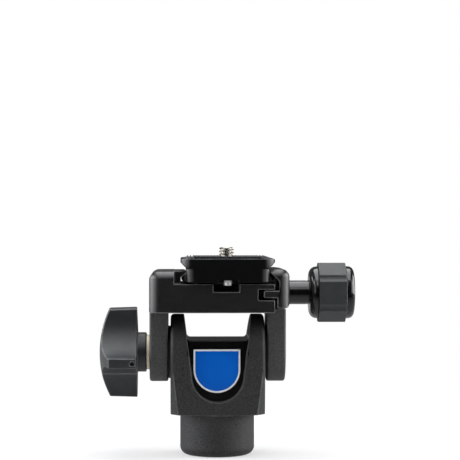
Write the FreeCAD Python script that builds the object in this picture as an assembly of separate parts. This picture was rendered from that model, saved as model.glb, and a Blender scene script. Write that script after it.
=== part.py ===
import FreeCAD, Part
import math
import os

# Monopod tilt head: a threaded base with two ears, a fork that tilts between stops of +-90 degrees,
# and a dovetail clamp with a quick release plate on top of the fork.
# Frame: +X to the clamp knob, +Y away from the badge, +Z up; origin in the mouth of the base thread.
# All sizes are in millimetres.

Vector = FreeCAD.Vector

# Clearances, and how far a cutter runs past the face that it opens
running_clearance = 0.05
loose_clearance = 0.3
press_clearance = 0.02
past = 1.0

# Base and its collar
base_radius = 15.5
base_edge_round = 3.5
base_thread_radius = 4.05
insert_radius = 6.6
insert_length = 12.0
insert_slot_width = 1.6
insert_slot_depth = 1.2
relief_depth = 3.5
relief_radius = 4.6
collar_bottom = 17.45
foot_overlap = 2.0
collar_arch_radius = 500.0
collar_half_depth = 16.5
corner_facet_width = 3.4

# Yoke ears and tilt axle
yoke_half_width = 19.5
tilt_axis_height = 42.7
ear_radius = 16.0
ear_edge_round = 1.6
saddle_rise = 5.6
saddle_half_width = 12.6
saddle_corner_round = 1.6
ear_gap_flare = 1.3
axle_radius = 4.0
axle_bore_clearance = 0.4
axle_bevel = 0.8
bush_radius = 5.3
bush_length = 5.5
washer_radius = 11.0
washer_thickness = 0.9

# Front recess and badge
recess_depth = 2.7
recess_radius = 10.8
recess_bottom = 22.9
badge_half_width = 9.65
badge_top = 44.7
badge_bottom = 26.8
badge_thickness = 0.8
badge_border = 0.75
badge_border_height = 0.3
badge_offset = -0.4
enamel_recess = 0.05

# Fork arms
arm_thickness = 7.75
arm_end_radius = 12.2
arm_edge_round = 1.0
arm_inner_round = 0.8
arm_shoulder_rise = 1.2
bolt_head_flats = 13.0
bolt_head_height = 5.3
bolt_head_recess = 0.2

# Clamp body
clamp_standoff = 17.3
clamp_height = 11.8
clamp_half_length = 23.0
clamp_corner_round = 4.2
clamp_edge_round = 0.6
clamp_lip_round = 0.5
slot_corner_round = 0.4
fixed_jaw_rise = 5.2
fixed_jaw_round = 3.8
clamp_body_margin = 0.3
jaw_notch_width = 4.4
jaw_notch_depth = 6.0
channel_gap = 0.15
stop_pocket_width = 10.6
stop_pocket_depth = 3.2
stop_pocket_offset = -0.6

# Moving jaw and its guides
jaw_travel = 4.0
jaw_thickness = 4.3
jaw_setback = 2.0
jaw_wall_gap = 0.2
jaw_foot_relief = 0.9
jaw_rise = 6.1
jaw_crest_drop = 0.7
jaw_crest_setback = 0.4
jaw_crest_round = 1.0
jaw_shoulder_width = 1.6
jaw_shoulder_drop = 0.4
jaw_side_drop = 2.3
jaw_top_round = 2.4
jaw_foot_round = 1.9
jaw_corner_round = 4.0
jaw_foot_clearance = 0.7
jaw_bite = 1.8
fixed_jaw_bite = 1.6
tongue_thickness = 3.0
tongue_length = 6.4
tongue_round = 0.7
tongue_gap_above = 0.4
slot_height = 4.3
slot_lip = 2.3
slot_end_gap = 2.2
guide_pin_radius = 1.25
guide_pin_bevel = 0.4
guide_pin_spacing = 21.0
guide_pin_engagement = 7.3
guide_pin_hold = 3.1
guide_relief = 5.0
spring_wire_radius = 0.22
spring_mean_radius = 1.6
spring_turns = 7

# Clamp screw and clamp knob
clamp_screw_radius = 2.5
clamp_insert_radius = 3.4
clamp_insert_length = 6.5
clamp_screw_bevel = 0.5
clamp_screw_short = 0.5
screw_hole_clearance = 0.4
screw_relief = 9.0
knob_washer_thickness = 0.5
knob_washer_radius = 4.6
stem_radius = 5.0
stem_length = 8.75
stem_edge_round = 0.4
bell_radius = 10.9
bell_length = 3.7
bell_round = 3.0
grip_length = 11.6
grip_flat_distance = 11.6
grip_flat_width = 9.8
grip_flute_depth = 0.45
grip_core_radius = 8.0
grip_sides = 6
cap_radius = 10.95
cap_length = 3.8
cap_band_share = 0.45
cap_band_round = 0.5
cap_round = 2.6
cap_crown_drop = 0.5
cap_crown_round = 1.5
cap_spigot_radius = 6.0
cap_spigot_length = 2.0

# Tilt knob
thrust_washer_radius = 7.3
thrust_washer_thickness = 1.25
hub_radius = 8.25
hub_length = 3.9
hub_edge_round = 0.5
tilt_knob_radius = 19.15
tilt_knob_rim_radius = 18.8
tilt_knob_width = 11.45
dome_height = 4.3
lobe_count = 4
scoop_half_angle = 38.5
scoop_floor_radius = 9.5
scoop_tilt = 34.0
lobe_round = 1.2
knob_nut_radius = 6.4
knob_nut_length = 10.5
knob_nut_recess = 0.3
knob_end_gap = 1.0
grub_radius = 1.0
grub_offset = 1.7
grub_recess = 2.2
grub_engagement = 0.5

# Quick release plate
plate_centre = 3.9
plate_width = 38.6
plate_length = 50.0
plate_corner_round = 5.0
plate_lift = 0.7
flange_width = 38.0
neck_width = 33.6
flange_chamfer = 1.2
flange_edge = 1.0
neck_height = 1.2
plate_slab_height = 1.5
slab_lower_round = 0.3
slab_upper_round = 0.6
nose_width = 35.0
nose_top_width = 33.8
nose_length = 4.0
nose_corner_round = 4.5
keel_groove_width = 8.6
keel_groove_depth = 0.8
keel_groove_length = 11.0
pad_width = 35.0
pad_length = 46.0
pad_corner_round = 4.0
pad_inlay = 0.6
pad_proud = 0.25
rib_pitch = 1.3
rib_height = 0.55
rib_foot_share = 0.15
rib_crest_share = 0.35
stop_screw_radius = 1.7
stop_screw_head = 2.2
stop_screw_shank_radius = 1.25
stop_screw_shank = 4.0
stop_screw_round = 0.3
stop_screw_inset = 5.0
shank_end_gap = 0.2
socket_share = 0.5
socket_depth = 1.0
plate_travel = 5.0

# Camera screw
screw_thread_radius = 3.175
screw_neck_radius = 2.55
screw_proud = 3.65
screw_point_chamfer = 0.5
screw_head_radius = 6.8
screw_head_height = 2.5
screw_head_gap = 0.4
screw_head_lower_round = 0.4
screw_head_upper_round = 0.3
screw_neck_clearance = 0.4
screw_slot_width = 1.6
screw_slot_depth = 1.1
screw_washer_radius = 6.3
screw_washer_thickness = 0.6
screw_travel = 6.0

# Levels and places that follow from the sizes above
saddle_height = tilt_axis_height + saddle_rise
ear_top = tilt_axis_height + ear_radius
recess_floor = collar_half_depth - recess_depth
arm_inner = yoke_half_width + washer_thickness + running_clearance
arm_outer = arm_inner + arm_thickness
clamp_bottom = tilt_axis_height + clamp_standoff
clamp_floor = clamp_bottom + clamp_height
plate_bottom = clamp_floor + plate_lift
flange_rise = (flange_width - neck_width) / 2
nose_rise = (nose_top_width - neck_width) / 2
flange_top = plate_bottom + flange_chamfer + flange_edge
neck_bottom = flange_top + flange_rise
neck_top = neck_bottom + neck_height
slab_bottom = neck_top + (plate_width - neck_width) / 2
plate_top = slab_bottom + plate_slab_height
pad_seat = plate_top - pad_inlay
pad_base_top = plate_top + pad_proud
pad_top = pad_base_top + rib_height
flange_left = plate_centre - flange_width / 2
flange_right = plate_centre + flange_width / 2
fixed_jaw_tip = flange_left + fixed_jaw_bite
moving_jaw_tip = flange_right - jaw_bite
clamp_body_right = flange_right + clamp_body_margin
jaw_inner_face = flange_right + jaw_setback
jaw_wall_face = clamp_body_right + jaw_wall_gap
jaw_outer_face = jaw_inner_face + jaw_thickness
jaw_bottom = clamp_bottom + arm_shoulder_rise + jaw_foot_clearance
tongue_left = jaw_inner_face - tongue_length
slot_left = tongue_left - slot_end_gap
slot_top = clamp_floor - slot_lip
slot_bottom = slot_top - slot_height
tongue_top = slot_top - tongue_gap_above
tongue_bottom = tongue_top - tongue_thickness
jaw_wall_bottom = slot_top + loose_clearance
jaw_foot_face = jaw_inner_face - jaw_foot_relief
screw_axis_height = (tongue_top + tongue_bottom) / 2
guide_offset = guide_pin_spacing / 2
guide_pin_reach = jaw_travel + guide_pin_engagement
stem_left = jaw_outer_face + running_clearance + knob_washer_thickness
bell_left = stem_left + stem_length
grip_left = bell_left + bell_length
cap_left = grip_left + grip_length
cap_right = cap_left + cap_length
thrust_right = -(arm_outer + running_clearance)
hub_right = thrust_right - thrust_washer_thickness - running_clearance
tilt_knob_right = hub_right - hub_length
tilt_knob_rim = tilt_knob_right - tilt_knob_width
knob_nut_left = hub_right - knob_nut_length
axle_left = knob_nut_left + knob_end_gap
stop_screw_place = plate_length / 2 - stop_screw_inset
stop_pocket_end = stop_screw_place - stop_screw_radius - plate_travel - running_clearance
screw_slot_half = screw_neck_radius + screw_neck_clearance
head_slot_half = screw_head_radius + loose_clearance
head_ceiling = plate_bottom + screw_head_gap + screw_head_height + screw_washer_thickness

# Helper values: a share just under a full half round, a block larger than the object, and a margin
# for telling edges apart
full_round = 0.9999
big = 200.0
select_margin = 0.1


def place(axis, u, v, along):
    """Turns a profile point into space: u and v lie in the plane square to the axis."""
    if axis == "x":
        return Vector(along, u, v)
    if axis == "y":
        return Vector(u, along, v)
    return Vector(u, v, along)


def outline(points, axis, along=0.0):
    """Closed wire through (u, v) or (u, v, corner radius) points."""
    corners = [(p[0], p[1], p[2] if len(p) > 2 else 0.0) for p in points]
    count = len(corners)
    starts = []
    ends = []
    middles = []
    for i in range(count):
        u, v, radius = corners[i]
        before = corners[i - 1]
        after = corners[(i + 1) % count]
        if radius == 0.0:
            starts.append((u, v))
            ends.append((u, v))
            middles.append(None)
            continue
        au, av = before[0] - u, before[1] - v
        bu, bv = after[0] - u, after[1] - v
        a_size = math.hypot(au, av)
        b_size = math.hypot(bu, bv)
        au, av, bu, bv = au / a_size, av / a_size, bu / b_size, bv / b_size
        half = math.acos(max(-1.0, min(1.0, au * bu + av * bv))) / 2
        tangent = radius / math.tan(half)
        mu, mv = au + bu, av + bv
        m_size = math.hypot(mu, mv)
        reach = radius / math.sin(half) - radius
        starts.append((u + au * tangent, v + av * tangent))
        ends.append((u + bu * tangent, v + bv * tangent))
        middles.append((u + mu / m_size * reach, v + mv / m_size * reach))
    edges = []
    for i in range(count):
        if middles[i] is not None:
            edges.append(Part.Arc(
                place(axis, *starts[i], along),
                place(axis, *middles[i], along),
                place(axis, *ends[i], along)).toShape())
        leave = place(axis, *ends[i], along)
        arrive = place(axis, *starts[(i + 1) % count], along)
        if leave.distanceToPoint(arrive) > 1e-6:
            edges.append(Part.LineSegment(leave, arrive).toShape())
    return Part.Wire(edges)


def prism(points, axis, start, end):
    """Profile extruded along an axis from start to end."""
    face = Part.Face(outline(points, axis, start))
    return face.extrude(place(axis, 0, 0, end - start))


def box(x0, x1, y0, y1, z0, z1):
    """Block between two corners."""
    return Part.makeBox(x1 - x0, y1 - y0, z1 - z0, Vector(x0, y0, z0))


def cylinder(axis, radius, u, v, start, end):
    """Round bar along an axis, centred at (u, v) in the plane square to it."""
    direction = place(axis, 0, 0, 1)
    return Part.makeCylinder(radius, end - start, place(axis, u, v, start), direction)


def turned_x(points, centre_height):
    """Profile of (x, radius) points turned about an X axis at the given height."""
    lifted = [(p[0], centre_height + p[1]) + tuple(p[2:]) for p in points]
    face = Part.Face(outline(lifted, "y"))
    return face.revolve(Vector(0, 0, centre_height), Vector(1, 0, 0), 360)


def turned_z(points, centre_x, centre_y=0.0):
    """Profile of (radius, z) points turned about a Z axis."""
    shifted = [(centre_x + p[0], p[1]) + tuple(p[2:]) for p in points]
    face = Part.Face(outline(shifted, "y", centre_y))
    return face.revolve(Vector(centre_x, centre_y, 0), Vector(0, 0, 1), 360)


def rounded_rectangle(half_x, half_y, radius, centre_x, z0, z1):
    """Upright block with rounded vertical corners."""
    points = [
        (centre_x - half_x, -half_y, radius),
        (centre_x + half_x, -half_y, radius),
        (centre_x + half_x, half_y, radius),
        (centre_x - half_x, half_y, radius),
    ]
    return prism(points, "z", z0, z1)


def slot_cutter(half_width, half_length, centre_x, z0, z1):
    """Upright slot along Y with round ends."""
    return rounded_rectangle(half_width, half_length, half_width * full_round, centre_x, z0, z1)


def hexagon(flats, centre_height, x0, x1):
    """Hexagonal bar along X on the given height, a flat on top."""
    corner = flats / math.sqrt(3)
    points = []
    for i in range(6):
        angle = math.radians(60 * i)
        points.append((corner * math.cos(angle), centre_height + corner * math.sin(angle)))
    return prism(points, "x", x0, x1)


def beyond_plane(point, across, along, outward):
    """Large block on the outer side of the plane through a point and two directions."""
    normal = across.cross(along)
    normal.normalize()
    if normal.dot(outward) < 0:
        normal = normal * -1
    turn = FreeCAD.Rotation(Vector(0, 0, 1), normal)
    block = Part.makeBox(big, big, big, Vector(-big / 2, -big / 2, 0))
    block.Placement = FreeCAD.Placement(point, turn)
    return block


def edges_where(shape, test):
    """Edges whose every sampled point passes the test."""
    found = []
    for edge in shape.Edges:
        first, last = edge.ParameterRange
        samples = [edge.valueAt(first + (last - first) * t) for t in (0.0, 0.3, 0.5, 0.7, 1.0)]
        if all(test(p) for p in samples):
            found.append(edge)
    return found


def near(value, target, tolerance=0.01):
    """True where a coordinate is at its target."""
    return abs(value - target) < tolerance


# Base yoke

def yoke_blank():
    """Collar and ears before the gap and the recesses are cut."""
    side = [
        (-collar_half_depth, 0.0),
        (collar_half_depth, 0.0),
        (ear_radius, tilt_axis_height),
        (-ear_radius, tilt_axis_height),
    ]
    block = prism(side, "x", -yoke_half_width, yoke_half_width)
    crown = cylinder("x", ear_radius, 0, tilt_axis_height, -yoke_half_width, yoke_half_width)
    blank = block.fuse(crown).removeSplitter()
    shoulder = edges_where(
        blank,
        lambda p: near(abs(p.x), yoke_half_width) and p.z > tilt_axis_height - select_margin)
    shoulder = [e for e in shoulder if e.BoundBox.ZMax > ear_top - select_margin]
    blank = blank.makeFillet(ear_edge_round, shoulder)
    arch = cylinder(
        "y", collar_arch_radius, 0, collar_bottom + collar_arch_radius, -big / 2, big / 2)
    blank = blank.common(arch)
    for side_x in (-1, 1):
        for side_y in (-1, 1):
            top = Vector(side_x * yoke_half_width, side_y * ear_radius, tilt_axis_height)
            foot = Vector(
                side_x * (yoke_half_width - corner_facet_width),
                side_y * collar_half_depth, collar_bottom)
            across = Vector(side_x, -side_y, 0)
            outward = Vector(side_x, side_y, 0)
            blank = blank.cut(beyond_plane(top, foot - top, across, outward))
    return blank


def recess_profile():
    """U shape of the recess round the badge, open at the top."""
    centre = recess_bottom + recess_radius
    top = ear_top + past
    flare = ear_gap_flare * (top - saddle_height) / (ear_top - saddle_height)
    left_shoulder = Vector(-recess_radius, 0, centre)
    right_shoulder = Vector(recess_radius, 0, centre)
    bottom = Vector(0, 0, recess_bottom)
    left_saddle = Vector(-saddle_half_width, 0, saddle_height)
    right_saddle = Vector(saddle_half_width, 0, saddle_height)
    left_top = Vector(-saddle_half_width - flare, 0, top)
    right_top = Vector(saddle_half_width + flare, 0, top)
    return Part.Wire([
        Part.Arc(left_shoulder, bottom, right_shoulder).toShape(),
        Part.LineSegment(right_shoulder, right_saddle).toShape(),
        Part.LineSegment(right_saddle, right_top).toShape(),
        Part.LineSegment(right_top, left_top).toShape(),
        Part.LineSegment(left_top, left_saddle).toShape(),
        Part.LineSegment(left_saddle, left_shoulder).toShape(),
    ])


def make_base_yoke():
    """Casting with the threaded foot, the collar and the two ears."""
    foot = cylinder("z", base_radius, 0, 0, 0, collar_bottom + foot_overlap)
    foot = foot.makeFillet(
        base_edge_round, edges_where(foot, lambda p: near(p.z, 0)))
    body = yoke_blank().fuse(foot)
    gap_top = ear_top + past
    flare = ear_gap_flare * (gap_top - saddle_height) / (ear_top - saddle_height)
    gap = [
        (-saddle_half_width, saddle_height, saddle_corner_round),
        (saddle_half_width, saddle_height, saddle_corner_round),
        (saddle_half_width + flare, gap_top),
        (-saddle_half_width - flare, gap_top),
    ]
    body = body.cut(prism(gap, "y", -big / 2, big / 2))
    recess = Part.Face(recess_profile())
    depth = big / 2
    front = recess.extrude(Vector(0, -depth, 0))
    front.translate(Vector(0, -recess_floor, 0))
    back = recess.extrude(Vector(0, depth, 0))
    back.translate(Vector(0, recess_floor, 0))
    body = body.cut(front).cut(back)
    bore = axle_radius + axle_bore_clearance
    body = body.cut(cylinder(
        "x", bore, 0, tilt_axis_height, -yoke_half_width - past, yoke_half_width + past))
    for side in (-1, 1):
        ends = sorted((side * (yoke_half_width - bush_length), side * (yoke_half_width + past)))
        seat = cylinder("x", bush_radius + press_clearance, 0, tilt_axis_height, *ends)
        body = body.cut(seat)
    body = body.cut(cylinder("z", insert_radius + press_clearance, 0, 0, -past, insert_length))
    body = body.cut(cylinder(
        "z", relief_radius, 0, 0, insert_length - past, insert_length + relief_depth))
    return body.removeSplitter()


def make_thread_insert():
    """Steel bush that carries the base thread, drawn at the thread's minor diameter."""
    bush = cylinder("z", insert_radius, 0, 0, 0, insert_length)
    bush = bush.cut(cylinder("z", base_thread_radius, 0, 0, -past, insert_length + past))
    slot = box(-insert_radius - past, insert_radius + past,
               -insert_slot_width / 2, insert_slot_width / 2, -past, insert_slot_depth)
    return bush.cut(slot)


def badge_outline(shrink, y):
    """Shield: straight top and sides over a half round bottom."""
    half = badge_half_width - shrink
    top = badge_top - shrink
    shoulder = badge_bottom + badge_half_width
    left = Vector(badge_offset - half, y, shoulder)
    right = Vector(badge_offset + half, y, shoulder)
    left_top = Vector(badge_offset - half, y, top)
    right_top = Vector(badge_offset + half, y, top)
    return Part.Wire([
        Part.Arc(left, Vector(badge_offset, y, shoulder - half), right).toShape(),
        Part.LineSegment(right, right_top).toShape(),
        Part.LineSegment(right_top, left_top).toShape(),
        Part.LineSegment(left_top, left).toShape(),
    ])


def make_badge():
    """Bare shield plate with a raised border, and the enamel that fills it."""
    front = -recess_floor - badge_thickness
    plate = Part.Face(badge_outline(0, front)).extrude(Vector(0, badge_thickness, 0))
    field = Part.Face(badge_outline(badge_border, front))
    plate = plate.cut(field.extrude(Vector(0, badge_border_height, 0)))
    enamel = Part.Face(badge_outline(badge_border, front + enamel_recess))
    enamel = enamel.extrude(Vector(0, badge_border_height - enamel_recess, 0))
    return plate, enamel


def make_axle_bush(side):
    """Plain bush pressed into one ear."""
    ends = sorted((side * (yoke_half_width - bush_length), side * yoke_half_width))
    bush = cylinder("x", bush_radius, 0, tilt_axis_height, *ends)
    return bush.cut(cylinder(
        "x", axle_radius + running_clearance, 0, tilt_axis_height, ends[0] - past, ends[1] + past))


def make_friction_washer(side):
    """Friction disc between an ear and an arm."""
    ends = sorted((side * yoke_half_width, side * (yoke_half_width + washer_thickness)))
    disc = cylinder("x", washer_radius, 0, tilt_axis_height, *ends)
    hole = cylinder(
        "x", axle_radius + loose_clearance, 0, tilt_axis_height, ends[0] - past, ends[1] + past)
    return disc.cut(hole)


# Fork with the fixed half of the clamp

def make_arm(side):
    """One arm of the fork, round about the tilt axis."""
    ends = sorted((side * arm_inner, side * arm_outer))
    eye = cylinder("x", arm_end_radius, 0, tilt_axis_height, *ends)
    top = clamp_bottom + arm_shoulder_rise
    leg = box(ends[0], ends[1], -arm_end_radius, arm_end_radius, tilt_axis_height, top)
    arm = eye.fuse(leg).removeSplitter()
    outer = edges_where(
        arm, lambda p: near(p.x, side * arm_outer) and p.z < clamp_bottom + select_margin or
        near(p.x, side * arm_outer) and near(abs(p.y), arm_end_radius))
    arm = arm.makeFillet(arm_edge_round, outer)
    inner = edges_where(arm, lambda p: near(p.x, side * arm_inner) and p.z < top - select_margin)
    inner += edges_where(
        arm, lambda p: near(p.x, side * arm_inner) and near(abs(p.y), arm_end_radius))
    return arm.makeFillet(arm_inner_round, inner)


def clamp_profile():
    """Section of the clamp body and the fixed jaw, seen along Y."""
    top = clamp_floor + fixed_jaw_rise
    gap = running_clearance * math.sqrt(2)
    slope_constant = flange_top - flange_left + gap
    tip_low = slope_constant + fixed_jaw_tip
    channel_wall = flange_left - channel_gap
    wall_top = slope_constant + channel_wall
    return [
        (-arm_outer, clamp_bottom, clamp_edge_round),
        (-arm_outer, top, fixed_jaw_round),
        (fixed_jaw_tip, top),
        (fixed_jaw_tip, tip_low),
        (channel_wall, wall_top),
        (channel_wall, clamp_floor),
        (clamp_body_right, clamp_floor, clamp_lip_round),
        (clamp_body_right, slot_top, clamp_lip_round),
        (slot_left, slot_top, slot_corner_round),
        (slot_left, slot_bottom, slot_corner_round),
        (clamp_body_right, slot_bottom, clamp_lip_round),
        (clamp_body_right, clamp_bottom, clamp_edge_round),
    ]


def make_tilt_fork():
    """Casting with both arms, the clamp floor and the fixed jaw."""
    reach = clamp_half_length
    body = prism(clamp_profile(), "y", -reach, reach)
    corners = [
        (-arm_outer, -reach, clamp_corner_round),
        (clamp_body_right, -reach, clamp_edge_round),
        (clamp_body_right, reach, clamp_edge_round),
        (-arm_outer, reach, clamp_corner_round),
    ]
    jaw_top = clamp_floor + fixed_jaw_rise
    body = body.common(prism(corners, "z", clamp_bottom - past, jaw_top + past))
    for side in (-1, 1):
        body = body.fuse(make_arm(side))
    notch_left = fixed_jaw_tip - jaw_notch_width
    pocket_centre = plate_centre + stop_pocket_offset
    for side in (-1, 1):
        ends = sorted((side * (reach - jaw_notch_depth), side * (reach + past)))
        body = body.cut(box(
            notch_left, fixed_jaw_tip + past, *ends, clamp_floor, jaw_top + past))
        ends = sorted((side * stop_pocket_end, side * (reach + past)))
        body = body.cut(box(
            pocket_centre - stop_pocket_width / 2, pocket_centre + stop_pocket_width / 2,
            *ends, clamp_floor - stop_pocket_depth, clamp_floor + past))
    hole = axle_radius + 2 * running_clearance
    body = body.cut(cylinder(
        "x", hole, 0, tilt_axis_height, -arm_outer - past, -arm_inner + past))
    body = body.cut(cylinder("x", hole, 0, tilt_axis_height, arm_inner - past, arm_outer + past))
    head_seat = arm_outer - bolt_head_height - bolt_head_recess
    body = body.cut(hexagon(
        bolt_head_flats + 2 * running_clearance, tilt_axis_height, head_seat, arm_outer + past))
    screw_hole = clamp_screw_radius + screw_hole_clearance
    body = body.cut(cylinder(
        "x", screw_hole, 0, screw_axis_height, slot_left - past, clamp_body_right + past))
    body = body.cut(cylinder(
        "x", clamp_insert_radius + press_clearance, 0, screw_axis_height,
        slot_left - clamp_insert_length, slot_left + running_clearance))
    for side in (-1, 1):
        body = body.cut(cylinder(
            "x", guide_pin_radius + running_clearance, side * guide_offset, screw_axis_height,
            slot_left - guide_pin_reach - loose_clearance, slot_left + past))
    return body.removeSplitter()


def make_axle_bolt():
    """Hex head bolt that the fork tilts on and the tilt knob screws on to."""
    seat = arm_outer - bolt_head_height - bolt_head_recess
    head = hexagon(bolt_head_flats, tilt_axis_height, seat, seat + bolt_head_height)
    shank = turned_x([
        (axle_left, 0),
        (axle_left, axle_radius - axle_bevel),
        (axle_left + axle_bevel, axle_radius),
        (seat + past, axle_radius),
        (seat + past, 0),
    ], tilt_axis_height)
    return head.fuse(shank).removeSplitter()


def make_clamp_insert():
    """Threaded bush for the clamp screw."""
    ends = (slot_left - clamp_insert_length, slot_left)
    bush = cylinder("x", clamp_insert_radius, 0, screw_axis_height, *ends)
    hole = cylinder(
        "x", clamp_screw_radius + running_clearance, 0, screw_axis_height,
        ends[0] - past, ends[1] + past)
    return bush.cut(hole)


def turn_gap(pitch):
    """Least gap of a spring's wire to its next turn, measured on points of its centre line."""
    def point(turns):
        angle = 2 * math.pi * turns
        across = spring_mean_radius * math.cos(angle)
        return Vector(across, spring_mean_radius * math.sin(angle), pitch * turns)

    start = point(0)
    steps = 120
    spans = [start.distanceToPoint(point(0.5 + i / steps)) for i in range(steps + 1)]
    return min(spans) - 2 * spring_wire_radius


def make_jaw_spring(side):
    """Coil spring round a guide pin, between the slot's end wall and the jaw's foot."""
    left = slot_left + spring_wire_radius + running_clearance
    right = jaw_foot_face - spring_wire_radius - running_clearance
    pitch = (right - left) / spring_turns
    print("least gap between the turns of a jaw spring", round(turn_gap(pitch), 2), "mm")
    path = Part.makeHelix(pitch, right - left, spring_mean_radius)
    start = Vector(spring_mean_radius, 0, 0)
    rise = Vector(0, 2 * math.pi * spring_mean_radius, pitch)
    section = Part.Wire([Part.Circle(start, rise, spring_wire_radius).toShape()])
    coil = Part.Wire(path).makePipeShell([section], True, True)
    turn = FreeCAD.Rotation(Vector(0, 0, 1), Vector(1, 0, 0))
    coil.Placement = FreeCAD.Placement(Vector(left, side * guide_offset, screw_axis_height), turn)
    return coil


# Moving jaw

def jaw_profile():
    """Section of the moving jaw with its tongue, seen along Y."""
    top = clamp_floor + jaw_rise
    gap = running_clearance * math.sqrt(2)
    slope_constant = flange_top + flange_right + gap
    return [
        (moving_jaw_tip, slope_constant - moving_jaw_tip),
        (moving_jaw_tip, top - jaw_crest_drop),
        (jaw_inner_face - jaw_crest_setback, top, jaw_crest_round),
        (jaw_outer_face - jaw_shoulder_width, top - jaw_shoulder_drop, jaw_crest_round),
        (jaw_outer_face, top - jaw_side_drop, jaw_top_round),
        (jaw_outer_face, jaw_bottom, jaw_foot_round),
        (jaw_foot_face, jaw_bottom, slot_corner_round),
        (jaw_foot_face, tongue_bottom),
        (tongue_left, tongue_bottom, tongue_round),
        (tongue_left, tongue_top, tongue_round),
        (jaw_inner_face, tongue_top),
        (jaw_inner_face, slope_constant - jaw_inner_face),
    ]


def jaw_wall_profile():
    """Section of the wall that closes the gap beside the plate, between the notched ends."""
    slope_constant = flange_top + flange_right + running_clearance * math.sqrt(2)
    return [
        (jaw_wall_face, jaw_wall_bottom),
        (jaw_inner_face, jaw_wall_bottom),
        (jaw_inner_face, slope_constant - jaw_inner_face),
        (jaw_wall_face, slope_constant - jaw_wall_face),
    ]


def make_moving_jaw():
    """Clamp jaw that the clamp knob draws against the plate."""
    reach = clamp_half_length
    jaw = prism(jaw_profile(), "y", -reach, reach)
    left = tongue_left - past
    corners = [
        (left, -reach),
        (jaw_outer_face, -reach, jaw_corner_round),
        (jaw_outer_face, reach, jaw_corner_round),
        (left, reach),
    ]
    jaw = jaw.common(prism(corners, "z", jaw_bottom - past, clamp_floor + jaw_rise + past))
    wall_end = reach - jaw_notch_depth
    jaw = jaw.fuse(prism(jaw_wall_profile(), "y", -wall_end, wall_end)).removeSplitter()
    half_relief = screw_relief / 2
    jaw = jaw.cut(box(left, jaw_inner_face, -half_relief, half_relief, tongue_bottom, tongue_top))
    for side in (-1, 1):
        centre = side * guide_offset
        jaw = jaw.cut(box(left, jaw_inner_face, centre - guide_relief / 2, centre + guide_relief / 2,
                          tongue_bottom, tongue_top))
        jaw = jaw.cut(cylinder(
            "x", guide_pin_radius + press_clearance, centre, screw_axis_height,
            jaw_foot_face - past, jaw_inner_face + guide_pin_hold + running_clearance))
    hole = clamp_screw_radius + 2 * running_clearance
    jaw = jaw.cut(cylinder("x", hole, 0, screw_axis_height, left, jaw_outer_face + past))
    return jaw.removeSplitter()


def make_guide_pin(side):
    """Steel pin fixed in the jaw and sliding in the fork."""
    left = slot_left - guide_pin_reach
    right = jaw_inner_face + guide_pin_hold
    pin = turned_x([
        (left, 0),
        (left, guide_pin_radius - guide_pin_bevel),
        (left + guide_pin_bevel, guide_pin_radius),
        (right, guide_pin_radius),
        (right, 0),
    ], screw_axis_height)
    pin.translate(Vector(0, side * guide_offset, 0))
    return pin


def make_knob_washer():
    """Thin slip washer between the jaw and the clamp knob's stem."""
    left = jaw_outer_face
    right = left + knob_washer_thickness
    ring = cylinder("x", knob_washer_radius, 0, screw_axis_height, left, right)
    hole = clamp_screw_radius + loose_clearance
    return ring.cut(cylinder("x", hole, 0, screw_axis_height, left - past, right + past))


# Clamp knob

def make_clamp_stem():
    """Turned stem and bell with the core that carries the grip."""
    core_right = cap_left - cap_spigot_length
    bore = clamp_screw_radius + press_clearance
    return turned_x([
        (stem_left, bore),
        (stem_left, stem_radius, stem_edge_round),
        (bell_left, stem_radius),
        (bell_left, bell_radius, bell_round),
        (grip_left, bell_radius, stem_edge_round),
        (grip_left, grip_core_radius),
        (cap_left, grip_core_radius),
        (cap_left, cap_spigot_radius + press_clearance),
        (core_right, cap_spigot_radius + press_clearance),
        (core_right, bore),
    ], screw_axis_height)


def make_clamp_grip():
    """Six flats with a shallow flute between each pair."""
    edge_radius = math.hypot(grip_flat_distance, grip_flat_width / 2)
    half_angle = math.atan2(grip_flat_width / 2, grip_flat_distance)
    step = 2 * math.pi / grip_sides
    flute_radius = edge_radius * math.cos(step / 2 - half_angle) - grip_flute_depth

    def point(angle, radius):
        height = screw_axis_height + radius * math.sin(angle)
        return Vector(grip_left, -radius * math.cos(angle), height)

    edges = []
    for i in range(grip_sides):
        centre = i * step
        start = point(centre - half_angle, edge_radius)
        end = point(centre + half_angle, edge_radius)
        middle = point(centre + step / 2, flute_radius)
        following = point(centre + step - half_angle, edge_radius)
        edges.append(Part.LineSegment(start, end).toShape())
        edges.append(Part.Arc(end, middle, following).toShape())
    grip = Part.Face(Part.Wire(edges)).extrude(Vector(grip_length, 0, 0))
    hole = cylinder("x", grip_core_radius + press_clearance, 0, screw_axis_height,
                    grip_left - past, cap_left + past)
    return grip.cut(hole)


def make_clamp_cap():
    """Domed end cap with a spigot that clips into the core."""
    return turned_x([
        (cap_left - cap_spigot_length, 0),
        (cap_left - cap_spigot_length, cap_spigot_radius),
        (cap_left, cap_spigot_radius),
        (cap_left, cap_radius),
        (cap_left + cap_length * cap_band_share, cap_radius, cap_band_round),
        (cap_right - cap_crown_drop, cap_radius - cap_round, cap_crown_round),
        (cap_right, 0),
    ], screw_axis_height)


def make_clamp_screw():
    """Stud from the knob's core through the jaw into the fork."""
    left = slot_left - clamp_insert_length + clamp_screw_short
    right = cap_left - cap_spigot_length
    return turned_x([
        (left, 0),
        (left, clamp_screw_radius - clamp_screw_bevel),
        (left + clamp_screw_bevel, clamp_screw_radius),
        (right, clamp_screw_radius),
        (right, 0),
    ], screw_axis_height)


# Tilt knob

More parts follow.
